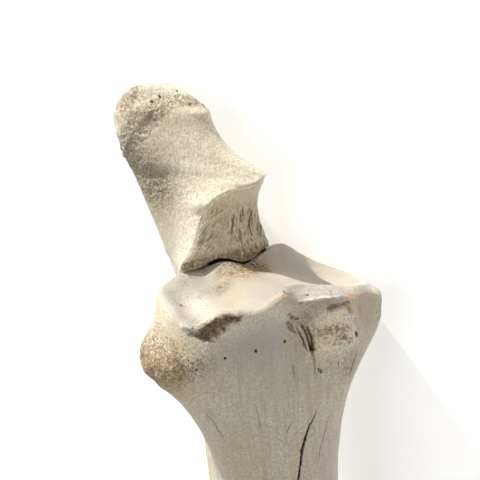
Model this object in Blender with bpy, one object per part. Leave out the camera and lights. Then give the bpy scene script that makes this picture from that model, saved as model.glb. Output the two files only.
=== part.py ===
"""Right radius and ulna of an adult giraffe, the two bones of the forearm, lying at rest.

Both bones are modelled upright in the anatomical frame of the forearm, in millimetres: +X medial,
+Y caudal, +Z proximal, with the origin in the middle of the radial head. They are then laid on
the floor on their medial and caudal side, on the places on which the pair comes to rest.
"""

import math

import bmesh
import bpy
from mathutils import Matrix, Vector

MM = 0.001
GAP = 1.0
RIM_REACH = 24.0

# How the pair lies: bearing of the upward direction from medial towards caudal, its lean
# towards proximal, and the move that puts them on the floor, half a millimetre too low, so
# that each place on which they rest is cut to a small flat.
REST_BEARING = math.radians(225.3)
REST_LEAN = 0.0064
REST_MOVE = Vector((344.57, -15.03, 55.75))

# Radius: level, lateral, medial, cranial and caudal half sizes, and the middle of the section.
RADIUS_LEVELS = (
    (0.0, 54.5, 56.5, 25.0, 26.5, 5.0, 0.5),
    (-9.0, 56.5, 59.5, 25.5, 28.0, 5.0, 0.5),
    (-20.0, 57.5, 60.0, 25.5, 28.0, 5.0, 0.5),
    (-34.0, 56.0, 56.3, 25.0, 26.0, 5.0, 0.0),
    (-48.0, 51.3, 46.5, 24.5, 24.0, 4.5, -0.5),
    (-64.0, 41.6, 38.5, 24.0, 22.0, 3.5, -1.5),
    (-84.0, 34.0, 33.0, 23.5, 20.5, 2.5, -2.5),
    (-110.0, 31.0, 30.5, 23.0, 19.5, 2.0, -4.5),
    (-160.0, 30.2, 30.0, 22.5, 18.5, 1.0, -8.0),
    (-260.0, 30.0, 30.0, 22.0, 18.0, 0.0, -14.0),
    (-400.0, 29.5, 29.5, 22.0, 18.0, 0.0, -17.0),
    (-520.0, 31.0, 31.0, 23.0, 18.5, 0.0, -13.0),
    (-620.0, 36.0, 36.0, 26.0, 22.0, 0.0, -7.0),
    (-680.0, 44.0, 44.0, 30.0, 27.0, 0.0, -3.0),
    (-720.0, 51.0, 51.0, 34.0, 32.0, 0.0, -1.0),
    (-755.0, 54.5, 53.5, 36.0, 34.0, 0.0, 0.0),
    (-780.0, 53.0, 52.0, 34.5, 32.5, 0.0, 0.0),
)
RADIUS_SEGMENTS = 72
RADIUS_END = -772.0

# Rim of the radial head: place along X and height.
CRANIAL_RIM = (
    (-53.0, 5.2), (-51.0, -0.4), (-47.0, -5.3), (-43.6, -7.0), (-38.0, -3.6), (-33.0, 0.0),
    (-28.0, -0.4), (-16.0, -4.0), (-8.0, -1.0), (1.0, 3.0), (8.5, 4.0), (20.0, 3.0),
    (32.0, 1.0), (46.0, -2.6), (62.0, -7.0),
)
CAUDAL_RIM = (
    (-53.0, 5.2), (-43.6, 6.2), (-33.0, 8.5), (-26.0, 7.6), (-20.6, 7.4), (-17.0, 8.4),
    (-13.0, 10.8), (-8.0, 11.4), (-4.6, 10.2), (-1.0, 7.5), (2.0, 5.9), (7.8, 6.3),
    (12.7, 8.6), (18.0, 11.6), (24.0, 13.0), (30.0, 12.4), (34.0, 10.2), (39.0, 6.0),
    (49.0, -0.5), (59.0, -5.8), (62.0, -7.0),
)
# Depth of the joint surface below the straight line between the two rims.
CUP_DEPTHS = (
    (-53.0, 0.0), (-43.0, 4.0), (-30.0, 6.0), (-14.0, 2.5), (0.0, 0.5), (8.0, 1.0),
    (22.0, 6.5), (34.0, 8.0), (46.0, 4.5), (62.0, 0.0),
)

# Swellings and hollows: centre, spread along X, Y and Z, and height along the surface's normal.
RADIUS_FORMS = {
    "lateral tuberosity": ((-58.0, 4.0, -26.5), (14.0, 15.0, 10.0), 13.0),
    "groove over lateral tuberosity": ((-55.0, -4.0, -11.0), (12.0, 14.0, 4.0), -2.0),
    "biceps tuberosity": ((34.0, -25.0, -30.0), (12.0, 9.0, 12.0), 3.5),
    "hollow beside biceps tuberosity": ((13.0, -25.0, -26.0), (7.0, 8.0, 14.0), -1.5),
    "hollow under medial rim": ((26.0, -25.0, -9.0), (18.0, 8.0, 3.5), -2.5),
    "hollow under lateral lip": ((-27.0, -24.0, -12.0), (10.0, 8.0, 6.0), -3.0),
    "cranial lip": ((-16.0, -24.0, -4.0), (11.0, 7.0, 4.0), 2.0),
    "medial swelling": ((66.0, -4.0, -24.0), (8.0, 14.0, 10.0), 2.5),
    "groove of radial extensor": ((12.0, -36.0, -738.0), (8.0, 12.0, 38.0), -4.5),
    "groove of common extensor": ((-21.0, -36.0, -738.0), (7.0, 12.0, 34.0), -4.0),
    "ridge between grooves": ((-4.0, -36.0, -734.0), (5.0, 12.0, 28.0), 2.5),
    "groove of lateral extensor": ((-54.0, -6.0, -742.0), (8.0, 6.0, 30.0), -3.0),
    "medial styloid": ((50.0, 4.0, -768.0), (9.0, 14.0, 12.0), 4.0),
    "lateral styloid": ((-50.0, 8.0, -766.0), (9.0, 12.0, 16.0), 5.0),
    "hollow over carpal surface": ((0.0, 32.0, -738.0), (26.0, 10.0, 10.0), -4.0),
}

# Carpal surface: middle, spread and height of its facets and ridges.
CARPAL_FORMS = (
    ((-31.0, -6.0), (10.0, 14.0), -5.0),
    ((0.0, -5.0), (10.0, 15.0), -6.0),
    ((31.0, -4.0), (11.0, 15.0), -5.5),
    ((-16.0, 4.0), (4.0, 22.0), 4.0),
    ((17.0, 4.0), (4.0, 22.0), 3.5),
    ((0.0, 24.0), (40.0, 6.0), 6.0),
    ((-46.0, 9.0), (8.0, 13.0), 10.0),
    ((45.0, 2.0), (8.0, 15.0), 7.0),
)

# Ulna, in its own frame, which is turned about the vertical: P caudal, M medial.
ULNA_TURN = math.radians(17.0)
ELBOW_Y, ELBOW_Z = 0.5, 31.0
NOTCH_RADIUS = 26.0
BEAK_X, BEAK_REACH = 9.0, 5.6

# Level, front and back borders, length of the nose, middle planes behind it and at the back,
# and half thicknesses behind the nose, in the middle and at the back.
ULNA_LEVELS = (
    (84.0, 36.0, 94.0, 10.0, 6.5, 2.0, 11.0, 17.0, 19.5),
    (77.0, 35.5, 95.0, 10.0, 7.0, 2.0, 11.0, 16.5, 20.5),
    (70.0, 30.5, 93.5, 10.0, 7.5, 2.0, 10.8, 15.5, 19.5),
    (65.0, 25.5, 91.5, 11.0, 8.5, 2.0, 10.5, 14.7, 18.5),
    (60.0, 17.0, 89.5, 12.0, 10.5, 2.0, 8.7, 14.0, 17.0),
    (57.0, 8.5, 88.0, 10.0, 11.2, 2.0, 5.2, 13.5, 16.0),
    (54.5, -0.5, 87.0, 8.5, 11.3, 2.0, 2.8, 13.0, 15.0),
    (53.4, -2.3, 86.5, 6.5, 10.7, 2.0, 1.7, 13.0, 14.7),
)
# Below the beak: level, notch ridges along X, back border, and half thicknesses of the middle
# and the back.
NOTCH_LEVELS = (
    (53.4, 7.6, 11.0, 86.5, 12.8, 14.6),
    (51.0, 6.3, 12.6, 85.5, 12.7, 14.1),
    (49.2, 5.5, 14.4, 84.7, 12.6, 13.8),
    (47.1, 3.4, 16.6, 83.8, 12.5, 13.4),
    (46.2, -1.0, 16.6, 83.4, 12.5, 13.2),
    (44.9, -5.7, 16.6, 82.6, 12.5, 13.0),
    (42.4, -8.8, 16.5, 81.5, 12.5, 12.6),
    (40.0, -11.4, 16.5, 80.3, 12.5, 12.2),
    (37.0, -13.6, 16.6, 79.0, 12.7, 11.8),
    (33.0, -15.5, 16.8, 77.5, 13.0, 11.4),
    (26.4, -18.5, 17.6, 74.0, 14.0, 11.0),
    (20.8, -22.5, 18.8, 71.0, 15.5, 11.0),
    (15.7, -27.5, 19.6, 68.5, 17.0, 11.0),
    (11.0, -31.0, 20.5, 66.0, 18.0, 11.0),
    (5.0, -32.0, 20.5, 63.0, 18.0, 11.0),
    (0.0, -31.5, 20.0, 60.5, 17.5, 11.0),
    (-15.0, -30.0, 16.0, 55.5, 16.0, 10.0),
    (-30.0, -28.5, 10.5, 50.0, 14.0, 9.0),
    (-50.0, -27.5, 4.0, 44.5, 12.0, 8.0),
    (-80.0, -27.0, -2.0, 38.0, 10.0, 7.0),
    (-120.0, -26.0, -5.0, 33.0, 9.0, 6.5),
    (-180.0, -25.0, -7.0, 27.0, 8.0, 6.0),
    (-260.0, -24.0, -8.5, 20.5, 7.0, 5.5),
    (-360.0, -23.0, -10.0, 14.5, 6.0, 4.5),
    (-430.0, -22.0, -12.0, 12.5, 4.5, 3.5),
    (-480.0, -20.5, -14.5, 12.0, 2.7, 2.0),
)


def curve_through(knots):
    """A smooth function through the knots, which are (place, value) pairs in any order."""
    knots = sorted(knots)
    steps = [(b[1] - a[1]) / (b[0] - a[0]) for a, b in zip(knots, knots[1:])]
    slopes = [steps[0]]
    for before, after in zip(steps, steps[1:]):
        slopes.append(0.0 if before * after <= 0 else 2 * before * after / (before + after))
    slopes.append(steps[-1])

    def value(at):
        at = min(max(at, knots[0][0]), knots[-1][0])
        i = max(k for k in range(len(knots) - 1) if knots[k][0] <= at)
        (x0, y0), (x1, y1) = knots[i], knots[i + 1]
        width = x1 - x0
        t = (at - x0) / width
        return (
            y0 * (1 + 2 * t) * (1 - t) ** 2
            + y1 * t * t * (3 - 2 * t)
            + slopes[i] * width * t * (1 - t) ** 2
            - slopes[i + 1] * width * t * t * (1 - t)
        )

    return value


def columns(rows):
    """One smooth function of the first column for each other column of a table."""
    return [curve_through([(row[0], row[i]) for row in rows]) for i in range(1, len(rows[0]))]


def power(value, exponent):
    return math.copysign(abs(value) ** exponent, value)


def ease(low, high, value):
    t = min(max((value - low) / (high - low), 0.0), 1.0)
    return t * t * (3 - 2 * t)


def bell(point, centre, spread):
    """1 at the centre, falling away smoothly."""
    return math.exp(-0.5 * sum(((p - c) / s) ** 2 for p, c, s in zip(point, centre, spread)))


def loft(name, rings, top, bottom):
    """A closed mesh through rings of points, from the top down, with a point at each end."""
    made = bmesh.new()
    loops = [[made.verts.new(point) for point in ring] for ring in rings]
    top, bottom = made.verts.new(top), made.verts.new(bottom)
    count = len(rings[0])
    for i in range(count):
        j = (i + 1) % count
        for upper, lower in zip(loops, loops[1:]):
            made.faces.new((upper[i], lower[i], lower[j], upper[j]))
        made.faces.new((top, loops[0][i], loops[0][j]))
        made.faces.new((bottom, loops[-1][j], loops[-1][i]))
    if made.calc_volume(signed=True) < 0.0:
        bmesh.ops.reverse_faces(made, faces=made.faces)
    mesh = bpy.data.meshes.new(name)
    made.to_mesh(mesh)
    made.free()
    body = bpy.data.objects.new(name, mesh)
    bpy.context.scene.collection.objects.link(body)
    return body


def raise_forms(body, forms):
    """Pushes each vertex along its normal by the swellings and hollows near it."""
    made = bmesh.new()
    made.from_mesh(body.data)
    made.normal_update()
    moves = [
        (v, v.normal * sum(height * bell(v.co, centre, spread) for centre, spread, height in forms))
        for v in made.verts
    ]
    for vertex, move in moves:
        vertex.co += move
    made.to_mesh(body.data)
    made.free()


def soften(body, rounds, held):
    """Evens the surface out level by level, except at the vertices that are held."""
    made = bmesh.new()
    made.from_mesh(body.data)
    free = [v for v in made.verts if not held(v.index, v.co)]
    for _ in range(rounds):
        moves = []
        for vertex in free:
            around = [edge.other_vert(vertex).co for edge in vertex.link_edges]
            moves.append((vertex, sum(around, Vector()) / len(around)))
        for vertex, target in moves:
            vertex.co.x += 0.5 * (target.x - vertex.co.x)
            vertex.co.y += 0.5 * (target.y - vertex.co.y)
            vertex.co.z += 0.5 * (target.z - vertex.co.z) * ease(72.0, 86.0, vertex.co.z)
    made.to_mesh(body.data)
    made.free()


RADIUS_COLUMNS = columns(RADIUS_LEVELS)
cranial_rim = curve_through(CRANIAL_RIM)
caudal_rim = curve_through(CAUDAL_RIM)
cup_depth = curve_through(CUP_DEPTHS)


def boxiness(level, caudal):
    """Exponent of the section: rounded in front, flatter behind, squarer at both ends."""
    ends = math.exp(level / 45.0) + 0.6 * math.exp(-(level - RADIUS_END) / 60.0)
    return (2.9 if caudal else 2.15) + (0.6 if caudal else 0.6) * ends


def radius_section(level):
    """Points of the section of the radius at a level."""
    lateral, medial, cranial, caudal, x, y = [column(level) for column in RADIUS_COLUMNS]
    points = []
    for i in range(RADIUS_SEGMENTS):
        turn = 2 * math.pi * i / RADIUS_SEGMENTS
        c, s = math.cos(turn), math.sin(turn)
        flat = 2 / boxiness(level, s > 0)
        across = x + power(c, flat) * (medial if c > 0 else lateral)
        points.append(Vector((across, y + power(s, flat) * (caudal if s > 0 else cranial), level)))
    return points


def radius_back(x, level):
    """Place along Y of the back of the radius."""
    drop = max(-level, 0.0)
    for _ in range(8):
        drop = max(caudal_rim(x) * math.exp(-((drop / RIM_REACH) ** 2)) - level, 0.0)
    lateral, medial, _, caudal, middle, y = [column(-drop) for column in RADIUS_COLUMNS]
    share = min(abs(x - middle) / (medial if x > middle else lateral), 1.0)
    flat = boxiness(-drop, True)
    return y + caudal * (1 - share ** flat) ** (1 / flat)


def head_height(x, y, side):
    """Height of the joint surface of the head, at a side from -1 on the cranial rim to 1."""
    low, high = cranial_rim(x), caudal_rim(x)
    return low + (high - low) * (side + 1) / 2 - cup_depth(x) * (1 - side * side)


def build_radius():
    rim = radius_section(0.0)
    middle_x, middle_y = 5.0, 0.5
    rings, heights = [], []
    for point in rim:
        side = point.y - middle_y
        blend = 0.5 + 0.5 * max(min(side / 14.0, 1.0), -1.0)
        heights.append(cranial_rim(point.x) * (1 - blend) + caudal_rim(point.x) * blend)
    for share in (0.06, 0.14, 0.23, 0.33, 0.43, 0.53, 0.63, 0.72, 0.8, 0.87, 0.925, 0.967):
        ring = []
        for point, height in zip(rim, heights):
            x = middle_x + (point.x - middle_x) * share
            y = middle_y + (point.y - middle_y) * share
            edge = max(radius_back(x, 99.0) - middle_y, 1.0) if y > middle_y else 25.0 * (
                1 - min(abs(x - middle_x) / 58.0, 0.99) ** 2.75
            ) ** (1 / 2.75)
            side = max(min((y - middle_y) / edge, 1.0), -1.0)
            inner = head_height(x, y, side)
            mix = ease(0.7, 1.0, share)
            ring.append(Vector((x, y, inner * (1 - mix) + height * mix)))
        rings.append(ring)
    drops = [1.0, 2.8, 5.5, 8.5, 12.0, 15.5, 19.0, 22.5, 26.0, 29.5, 33.5, 38.0, 43.0, 48.5, 54.5]
    drops += [61.0, 68.0, 76.0, 86.0, 98.0, 114.0, 134.0]
    drops += [160.0 + 44.0 * i for i in range(10)]
    drops += [590.0, 614.0, 634.0, 652.0, 668.0, 682.0, 694.0, 705.0, 715.0, 724.0, 733.0, 742.0]
    drops += [751.0, 759.0, 766.0]
    for drop in drops:
        inset = 0.992 if drop == 1.0 else 1.0
        ring = []
        for point, height in zip(radius_section(-drop), heights):
            ring.append(
                Vector(
                    (
                        middle_x + (point.x - middle_x) * inset,
                        middle_y + (point.y - middle_y) * inset,
                        point.z + height * math.exp(-((drop / RIM_REACH) ** 2)),
                    )
                )
            )
        rings.append(ring)
    foot = radius_section(RADIUS_END)
    for share in (1.0, 0.975, 0.93, 0.86, 0.78, 0.69, 0.59, 0.48, 0.36, 0.24, 0.12):
        ring = []
        for point in foot:
            spot = Vector((point.x * share, point.y * share))
            drop = 4.0 + sum(
                height * bell(spot, centre, spread) for centre, spread, height in CARPAL_FORMS
            )
            ring.append(Vector((spot.x, spot.y, RADIUS_END - drop * ease(1.02, 0.88, share))))
        rings.append(ring)
    top = Vector((middle_x, middle_y, head_height(middle_x, middle_y, 0.0)))
    body = loft("radius", rings, top, Vector((0.0, 0.0, RADIUS_END - 6.5)))
    raise_forms(body, RADIUS_FORMS.values())
    soften(body, 2, lambda index, at: at.z > -7.0 or at.y > 14.0 or at.z < -775.0)
    return body


ULNA_COLUMNS = columns(ULNA_LEVELS)
NOTCH_COLUMNS = columns(NOTCH_LEVELS)
ulna_top = curve_through(
    ((38.0, 84.6), (44.0, 86.6), (50.0, 89.3), (58.0, 93.4), (66.0, 96.6), (73.0, 98.6),
     (80.0, 98.8), (86.0, 96.6), (91.5, 90.0))
)
FRONT_STEPS, SIDE_STEPS, BACK_STEPS = 12, 12, 8


def from_ulna_frame(p, m):
    c, s = math.cos(ULNA_TURN), math.sin(ULNA_TURN)
    return m * c - p * s, p * c + m * s


def to_ulna_frame(x, y):
    c, s = math.cos(ULNA_TURN), math.sin(ULNA_TURN)
    return y * c - x * s, x * c + y * s


def notch_front(x, z):
    """Place along Y of the wall of the trochlear notch."""
    width = 15.0 if x < BEAK_X else 5.5
    beak = BEAK_REACH * math.exp(-(((x - BEAK_X) / width) ** 2)) * ease(33.0, 49.0, z)
    beak *= 1.0 - 0.38 * ease(49.0, 53.4, z)
    reach = NOTCH_RADIUS - beak
    wall = ELBOW_Y + math.sqrt(max(reach * reach - (z - ELBOW_Z) ** 2, 0.0))
    if z > ELBOW_Z:
        return wall
    return 0.5 * (wall + 22.5 + math.sqrt((wall - 22.5) ** 2 + 3.0))


def ulna_foot(x):
    """Height of the underside of the foot over the rim of the radius."""
    return caudal_rim(x) + 1.3 + 1.1 * math.exp(-(((x + 7.0) / 8.0) ** 2))


def side_place(t, level, corner, flat, swell):
    """Place along M of a side, from its front corner over its flat to the thicker back."""
    reach = 0.75 + 0.25 * math.exp(-(((level - 53.0) / 3.0) ** 2))
    smooth = math.sin(0.5 * math.pi * min(t / reach, 1.0))
    sharp = 1.0 - (1.0 - min(t / 0.55, 1.0)) ** 2
    share = smooth + (sharp - smooth) * ease(46.0, 36.0, level)
    return corner + (flat - corner) * share + swell * ease(0.4, 1.0, t)


def olecranon_ring(level):
    """Section of the olecranon over the notch."""
    front, back, nose, near, far, thin, middle, thick = [column(level) for column in ULNA_COLUMNS]
    tail = 0.75 * thick
    pointed = 1.3 + 0.6 * ease(54.0, 66.0, level)
    outline = []
    for i in range(FRONT_STEPS + 1):
        aside = math.sin(-math.pi / 2 + math.pi * i / FRONT_STEPS)
        outline.append((front + nose * abs(aside) ** pointed, near + thin * aside))
    start, end = front + nose, back - tail
    for i in range(1, SIDE_STEPS):
        t = i / SIDE_STEPS
        m = side_place(t, level, near + thin, far + middle, thick - middle)
        outline.append((start + (end - start) * t, m))
    for i in range(BACK_STEPS + 1):
        turn = math.pi / 2 - math.pi * i / BACK_STEPS
        outline.append((end + tail * math.cos(turn), far + thick * math.sin(turn)))
    for i in range(SIDE_STEPS - 1, 0, -1):
        t = i / SIDE_STEPS
        m = side_place(t, level, near - thin, far - middle, middle - thick)
        outline.append((start + (end - start) * t, m))
    return [from_ulna_frame(p, m) for p, m in outline]


def notch_ring(level, fold=0.0):
    """Section below the beak: the front follows the notch, the foot or the back of the radius."""
    left, right, back, middle, thick = [column(level) for column in NOTCH_COLUMNS]
    points = []
    for i in range(FRONT_STEPS + 1):
        t = i / FRONT_STEPS
        x = left + (right - left) * t
        shift = math.exp(-(((level - 9.5) / 8.0) ** 2)) * (ulna_foot(x) - 9.5)
        z = level + shift
        if level > 9.5 or fold < 0:
            y = notch_front(x, z)
        else:
            y = radius_back(x, z) + GAP
        points.append((x, y, z))
    (lx, ly, lz), (rx, ry, rz) = points[0], points[-1]
    lp, lm = to_ulna_frame(lx, ly)
    rp, rm = to_ulna_frame(rx, ry)
    if level > 9.0:
        under = ease(26.0, 11.0, level)
        lp += under * (to_ulna_frame(lx, radius_back(lx, 99.0) + GAP)[0] - lp)
        rp += under * (to_ulna_frame(rx, radius_back(rx, 99.0) + GAP)[0] - rp)
    plane = 2.0 + (0.5 * (lm + rm) - 2.0) * (1.0 - ease(-60.0, 20.0, level))
    tail = 0.75 * thick
    end = back - tail
    for i in range(1, SIDE_STEPS):
        t = i / SIDE_STEPS
        m = side_place(t, level, rm, plane + middle, thick - middle)
        x, y = from_ulna_frame(rp + (end - rp) * t, m)
        points.append((x, y, level + (rz - level) * (1 - t) ** 3))
    for i in range(BACK_STEPS + 1):
        turn = math.pi / 2 - math.pi * i / BACK_STEPS
        x, y = from_ulna_frame(end + tail * math.cos(turn), plane + thick * math.sin(turn))
        points.append((x, y, level))
    for i in range(SIDE_STEPS - 1, 0, -1):
        t = i / SIDE_STEPS
        m = side_place(t, level, lm, plane - middle, middle - thick)
        x, y = from_ulna_frame(lp + (end - lp) * t, m)
        points.append((x, y, level + (lz - level) * (1 - t) ** 3))
    return [Vector(point) for point in points]


def build_ulna():
    rings = []
    outline = olecranon_ring(84.0)
    cx, cy = from_ulna_frame(65.0, 4.5)
    for share in (0.1, 0.25, 0.4, 0.55, 0.68, 0.8, 0.88, 0.94, 0.98):
        ring = []
        for x, y in outline:
            x, y = cx + (x - cx) * share, cy + (y - cy) * share
            p, _ = to_ulna_frame(x, y)
            ring.append(Vector((x, y, 84.0 + (ulna_top(p) - 84.0) * (1 - share ** 6))))
        rings.append(ring)
    for level in (82.5, 79.5, 76.0, 72.5, 69.0, 66.0, 63.5, 61.5, 59.5, 58.0, 56.5, 55.3, 54.2, 53.4):
        rings.append([Vector((x, y, level)) for x, y in olecranon_ring(level)])
    levels = [52.4, 51.0, 49.5, 47.5, 45.5, 43.5, 41.0, 38.5, 36.0, 33.0, 30.0, 27.0, 24.0, 21.0]
    levels += [18.0, 15.0, 12.5, 11.0, 9.9]
    for level in levels:
        rings.append(notch_ring(level))
    rings.append(notch_ring(9.5, fold=-1.0))
    levels = [9.3, 7.5, 4.0, 0.0, -5.0, -11.0, -18.0, -26.0, -36.0, -48.0, -62.0, -80.0, -100.0]
    levels += [-125.0, -155.0, -190.0, -230.0, -275.0, -320.0, -365.0, -405.0, -440.0, -466.0, -479.0]
    for level in levels:
        rings.append(notch_ring(level))
    last = sum(rings[-1], Vector()) / len(rings[-1])
    top = Vector((cx, cy, ulna_top(65.0)))
    body = loft("ulna", rings, top, last - Vector((0, 0, 1.5)))
    count = len(rings[0])

    def held(index, at):
        return (index % count <= FRONT_STEPS and at.z < 53.0) or at.z < -460.0

    soften(body, 6, held)
    return body


def lay_down():
    """The turn and the move that put the bones on the floor, origin under the middle."""
    up = Vector((math.cos(REST_BEARING), math.sin(REST_BEARING), REST_LEAN)).normalized()
    along = (Vector((0.0, 0.0, 1.0)) - up * up.z).normalized()
    turn = Matrix((along, up.cross(along), up)).to_4x4()
    return Matrix.Translation(REST_MOVE) @ turn


def cut_rests(body):
    """Cuts off what is below the floor and closes the cuts with flat faces."""
    made = bmesh.new()
    made.from_mesh(body.data)
    parts = made.verts[:] + made.edges[:] + made.faces[:]
    bmesh.ops.bisect_plane(
        made, geom=parts, dist=0.02, plane_co=(0, 0, 0), plane_no=(0, 0, 1), clear_inner=True
    )
    for vertex in made.verts:
        if vertex.co.z < 0.02:
            vertex.co.z = 0.0
    bmesh.ops.holes_fill(made, edges=made.edges, sides=0)
    made.to_mesh(body.data)
    made.free()


def main():
    for old in list(bpy.data.objects):
        bpy.data.objects.remove(old)
    for name, colour in (("radius", (0.70, 0.66, 0.56, 1.0)), ("ulna", (0.72, 0.66, 0.54, 1.0))):
        body = build_radius() if name == "radius" else build_ulna()
        body.data.transform(lay_down())
        cut_rests(body)
        body.data.transform(Matrix.Scale(MM, 4))
        bone = bpy.data.materials.new(name + "_bone")
        bone.use_nodes = True
        shader = bone.node_tree.nodes["Principled BSDF"]
        shader.inputs["Base Color"].default_value = colour
        shader.inputs["Roughness"].default_value = 0.6
        body.data.materials.append(bone)


main()
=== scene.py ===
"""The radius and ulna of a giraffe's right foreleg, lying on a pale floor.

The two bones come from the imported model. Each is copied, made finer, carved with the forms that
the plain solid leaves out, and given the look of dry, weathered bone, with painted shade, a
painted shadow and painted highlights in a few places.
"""

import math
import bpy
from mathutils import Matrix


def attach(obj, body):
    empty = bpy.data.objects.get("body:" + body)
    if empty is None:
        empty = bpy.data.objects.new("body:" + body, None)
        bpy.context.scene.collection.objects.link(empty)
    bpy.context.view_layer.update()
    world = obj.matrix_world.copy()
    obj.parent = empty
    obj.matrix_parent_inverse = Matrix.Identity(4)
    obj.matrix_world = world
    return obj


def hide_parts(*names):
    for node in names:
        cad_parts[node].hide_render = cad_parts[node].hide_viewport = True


bl_info = {
    "name": "Giraffe Forearm Bones",
    "version": (1, 0, 0),
    "blender": (4, 5, 0),
    "location": "View3D > Sidebar > Bones",
    "description": "A giraffe's radius and ulna as dry, weathered bone on a pale floor",
    "category": "Add Mesh",
}

import bmesh
import bpy
import numpy as np
from bpy.props import FloatProperty, FloatVectorProperty, PointerProperty
from bpy.types import Operator, Panel, PropertyGroup
from mathutils import Matrix, Vector, noise

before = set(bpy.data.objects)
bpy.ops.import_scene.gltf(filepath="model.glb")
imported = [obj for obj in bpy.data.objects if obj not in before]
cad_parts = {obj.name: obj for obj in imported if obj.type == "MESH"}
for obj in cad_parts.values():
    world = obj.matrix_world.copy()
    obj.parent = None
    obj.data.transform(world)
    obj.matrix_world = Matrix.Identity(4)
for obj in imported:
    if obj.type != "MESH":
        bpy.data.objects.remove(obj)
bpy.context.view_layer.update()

# How the bones lie, as in the part's source: bearing and lean of the upward direction in the
# frame of the upright forearm (X medial, Y caudal, Z proximal), and the move onto the floor.
REST_BEARING = math.radians(225.3)
REST_LEAN = 0.0064
REST_MOVE = Vector((344.57, -15.03, 55.75))
# The turn of the ulna's blade, and the axis of the elbow, which runs along X.
ULNA_TURN = math.radians(17.0)
ELBOW_Y, ELBOW_Z = 0.5, 31.0
MM, MM_PER_METRE = 0.001, 1000.0

# The bones are made finer above and below these heights, and this near to marks and rims.
HEAD_ABOVE, CARPAL_BELOW, ULNA_ABOVE = -104.0, -732.0, -150.0
MARK_NEAR, MARK_CLOSE, RIM_NEAR, RIDGE_NEAR = 2.6, 1.3, 8.0, 2.4
# Heights between which the cups, the carpal face and the carpal end of the radius begin.
CUP_EDGE, CARPAL_FACE, CARPAL_END = (-13.0, -9.0), (-768.0, -774.0), (-700.0, -745.0)
# The height of the ulna's growth line and its slope towards the back.
GROWTH_LINE, GROWTH_SLOPE = 141.3, 0.98

# The camera in the frame of the upright forearm: its bearing, dip and roll, how far to the right,
# down and ahead it sees the middle of the radius's head, in millimetres, and its picture.
BEARING, DIP, ROLL = math.radians(27.0), math.radians(14.0), math.radians(4.1)
HEAD_IN_VIEW = (9.9, 23.1, 458.7)
SENSOR, FOCAL_PIXELS, PICTURE_PIXELS = 36.0, 938.0, 480.0
# The stage, in metres.
FLOOR_REACH, SCREEN_RADIUS, SCREEN_HEIGHT = 30.0, 29.0, 24.0

# Carved lines, in millimetres in the frame of the upright forearm: points, spread, and height of
# a ridge, or depth of a groove where it is negative.
RADIUS_FORMS = {
    "hollow under medial rim": ([(42, -22, -18), (50, -19.5, -19), (56, -15, -22)], 4.5, -1.3),
    "shelf": (
        [(9, -24.4, -3.6), (13.5, -23.8, -4.1), (19.3, -23.6, -4.5), (25.2, -23.1, -5.5),
         (29.8, -22.6, -7.2)], 0.8, 0.9,
    ),
    "hollow under shelf": ([(13, -24, -7), (20, -24, -7.8), (27, -23.5, -8.3)], 1.6, -1.2),
    "groove under shelf": (
        [(24.6, -23, -10.4), (28, -22.9, -9.9), (31.7, -22.8, -9.8), (34.1, -22.5, -9.6)],
        0.9, -1.7,
    ),
    "edge of groove": (
        [(25.2, -23.6, -12.3), (28.8, -23.6, -12.5), (32.7, -23.3, -12.2)], 0.8, 0.8,
    ),
    "pit under shelf": ([(35.6, -22.5, -11), (36.9, -23.4, -14)], 1.2, -1.6),
    "lip": (
        [(-47, -11, -6.5), (-43, -14.5, -7.6), (-39, -15.5, -5.8), (-35, -19, -3.6),
         (-31, -20.8, -2), (-25, -23, -2.2)], 1.2, 1.1,
    ),
    "crest of saddle": (
        [(-25, -23, -2.2), (-21, -23.6, -3.2), (-16, -24.4, -4), (-10.6, -24.6, -2.2),
         (-4.8, -24.3, 0.4), (1.7, -24.1, 2.4)], 1.5, 0.8,
    ),
    "crest under saddle": ([(-5, -24.5, -4), (-9, -24.5, -14), (-12, -24.5, -34)], 4.5, 0.7),
    "hollow beside fins": ([(0, -24, -8), (5, -24, -11), (11, -24, -12.5)], 2.6, -1.3),
    "first fin groove": (
        [(5.7, -24.2, -16), (7.3, -24.4, -20.1), (9, -24.5, -24.9), (9.9, -24.5, -27.6)], 0.6, -1.3,
    ),
    "first fin": ([(6.7, -24.1, -15.3), (8.5, -24.4, -22.3), (10.9, -24.5, -28.5)], 0.5, 0.9),
    "second fin groove": (
        [(8.6, -23.9, -14.9), (10.2, -24.3, -18.9), (11.4, -24.4, -23.6), (12.4, -24.5, -28.3)],
        0.6, -1.6,
    ),
    "second fin": ([(10.1, -24.1, -16.4), (11, -24.4, -21), (12.2, -24.5, -26.3)], 0.5, 0.9),
    "third fin groove": (
        [(11.7, -24.2, -17.4), (12.7, -24.4, -20.7), (13.6, -24.5, -24.7), (13.5, -24.6, -28.5)],
        0.7, -1.6,
    ),
    "outer fin": ([(5.6, -24.3, -18.5), (7.7, -24.4, -23.3), (10.1, -24.5, -30.2)], 0.5, 0.6),
    "deep pit": ([(12.8, -24.5, -25.8), (13, -24.5, -28), (13.3, -24.6, -30)], 0.8, -1.5),
    "edge of rough patch": (
        [(14.6, -24, -16), (15.4, -24.4, -20.3), (15.8, -24.6, -24), (16.6, -24.8, -28)], 1.1, 1,
    ),
    "rough patch": ([(18, -24.8, -24.5), (24, -25.8, -26), (30, -26, -27)], 3.6, 1.6),
    "crest of biceps tuberosity": ([(30, -25.5, -19), (34, -26, -26), (36, -25.6, -33)], 3, 0.6),
    "groove of tuberosity": (
        [(-55, 6, -11), (-53.5, -3, -12.5), (-52, -10.5, -15.5), (-51.5, -14, -20),
         (-51, -15.5, -26)], 1.7, -1.5,
    ),
    "medial corner": ([(60, -14, -14), (63, -9, -14)], 3.5, 1.2),
    "bulge of tuberosity": ([(-59, 5, -20), (-58.5, -3, -21.5), (-57, -9, -24)], 4, 0.9),
}
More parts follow.
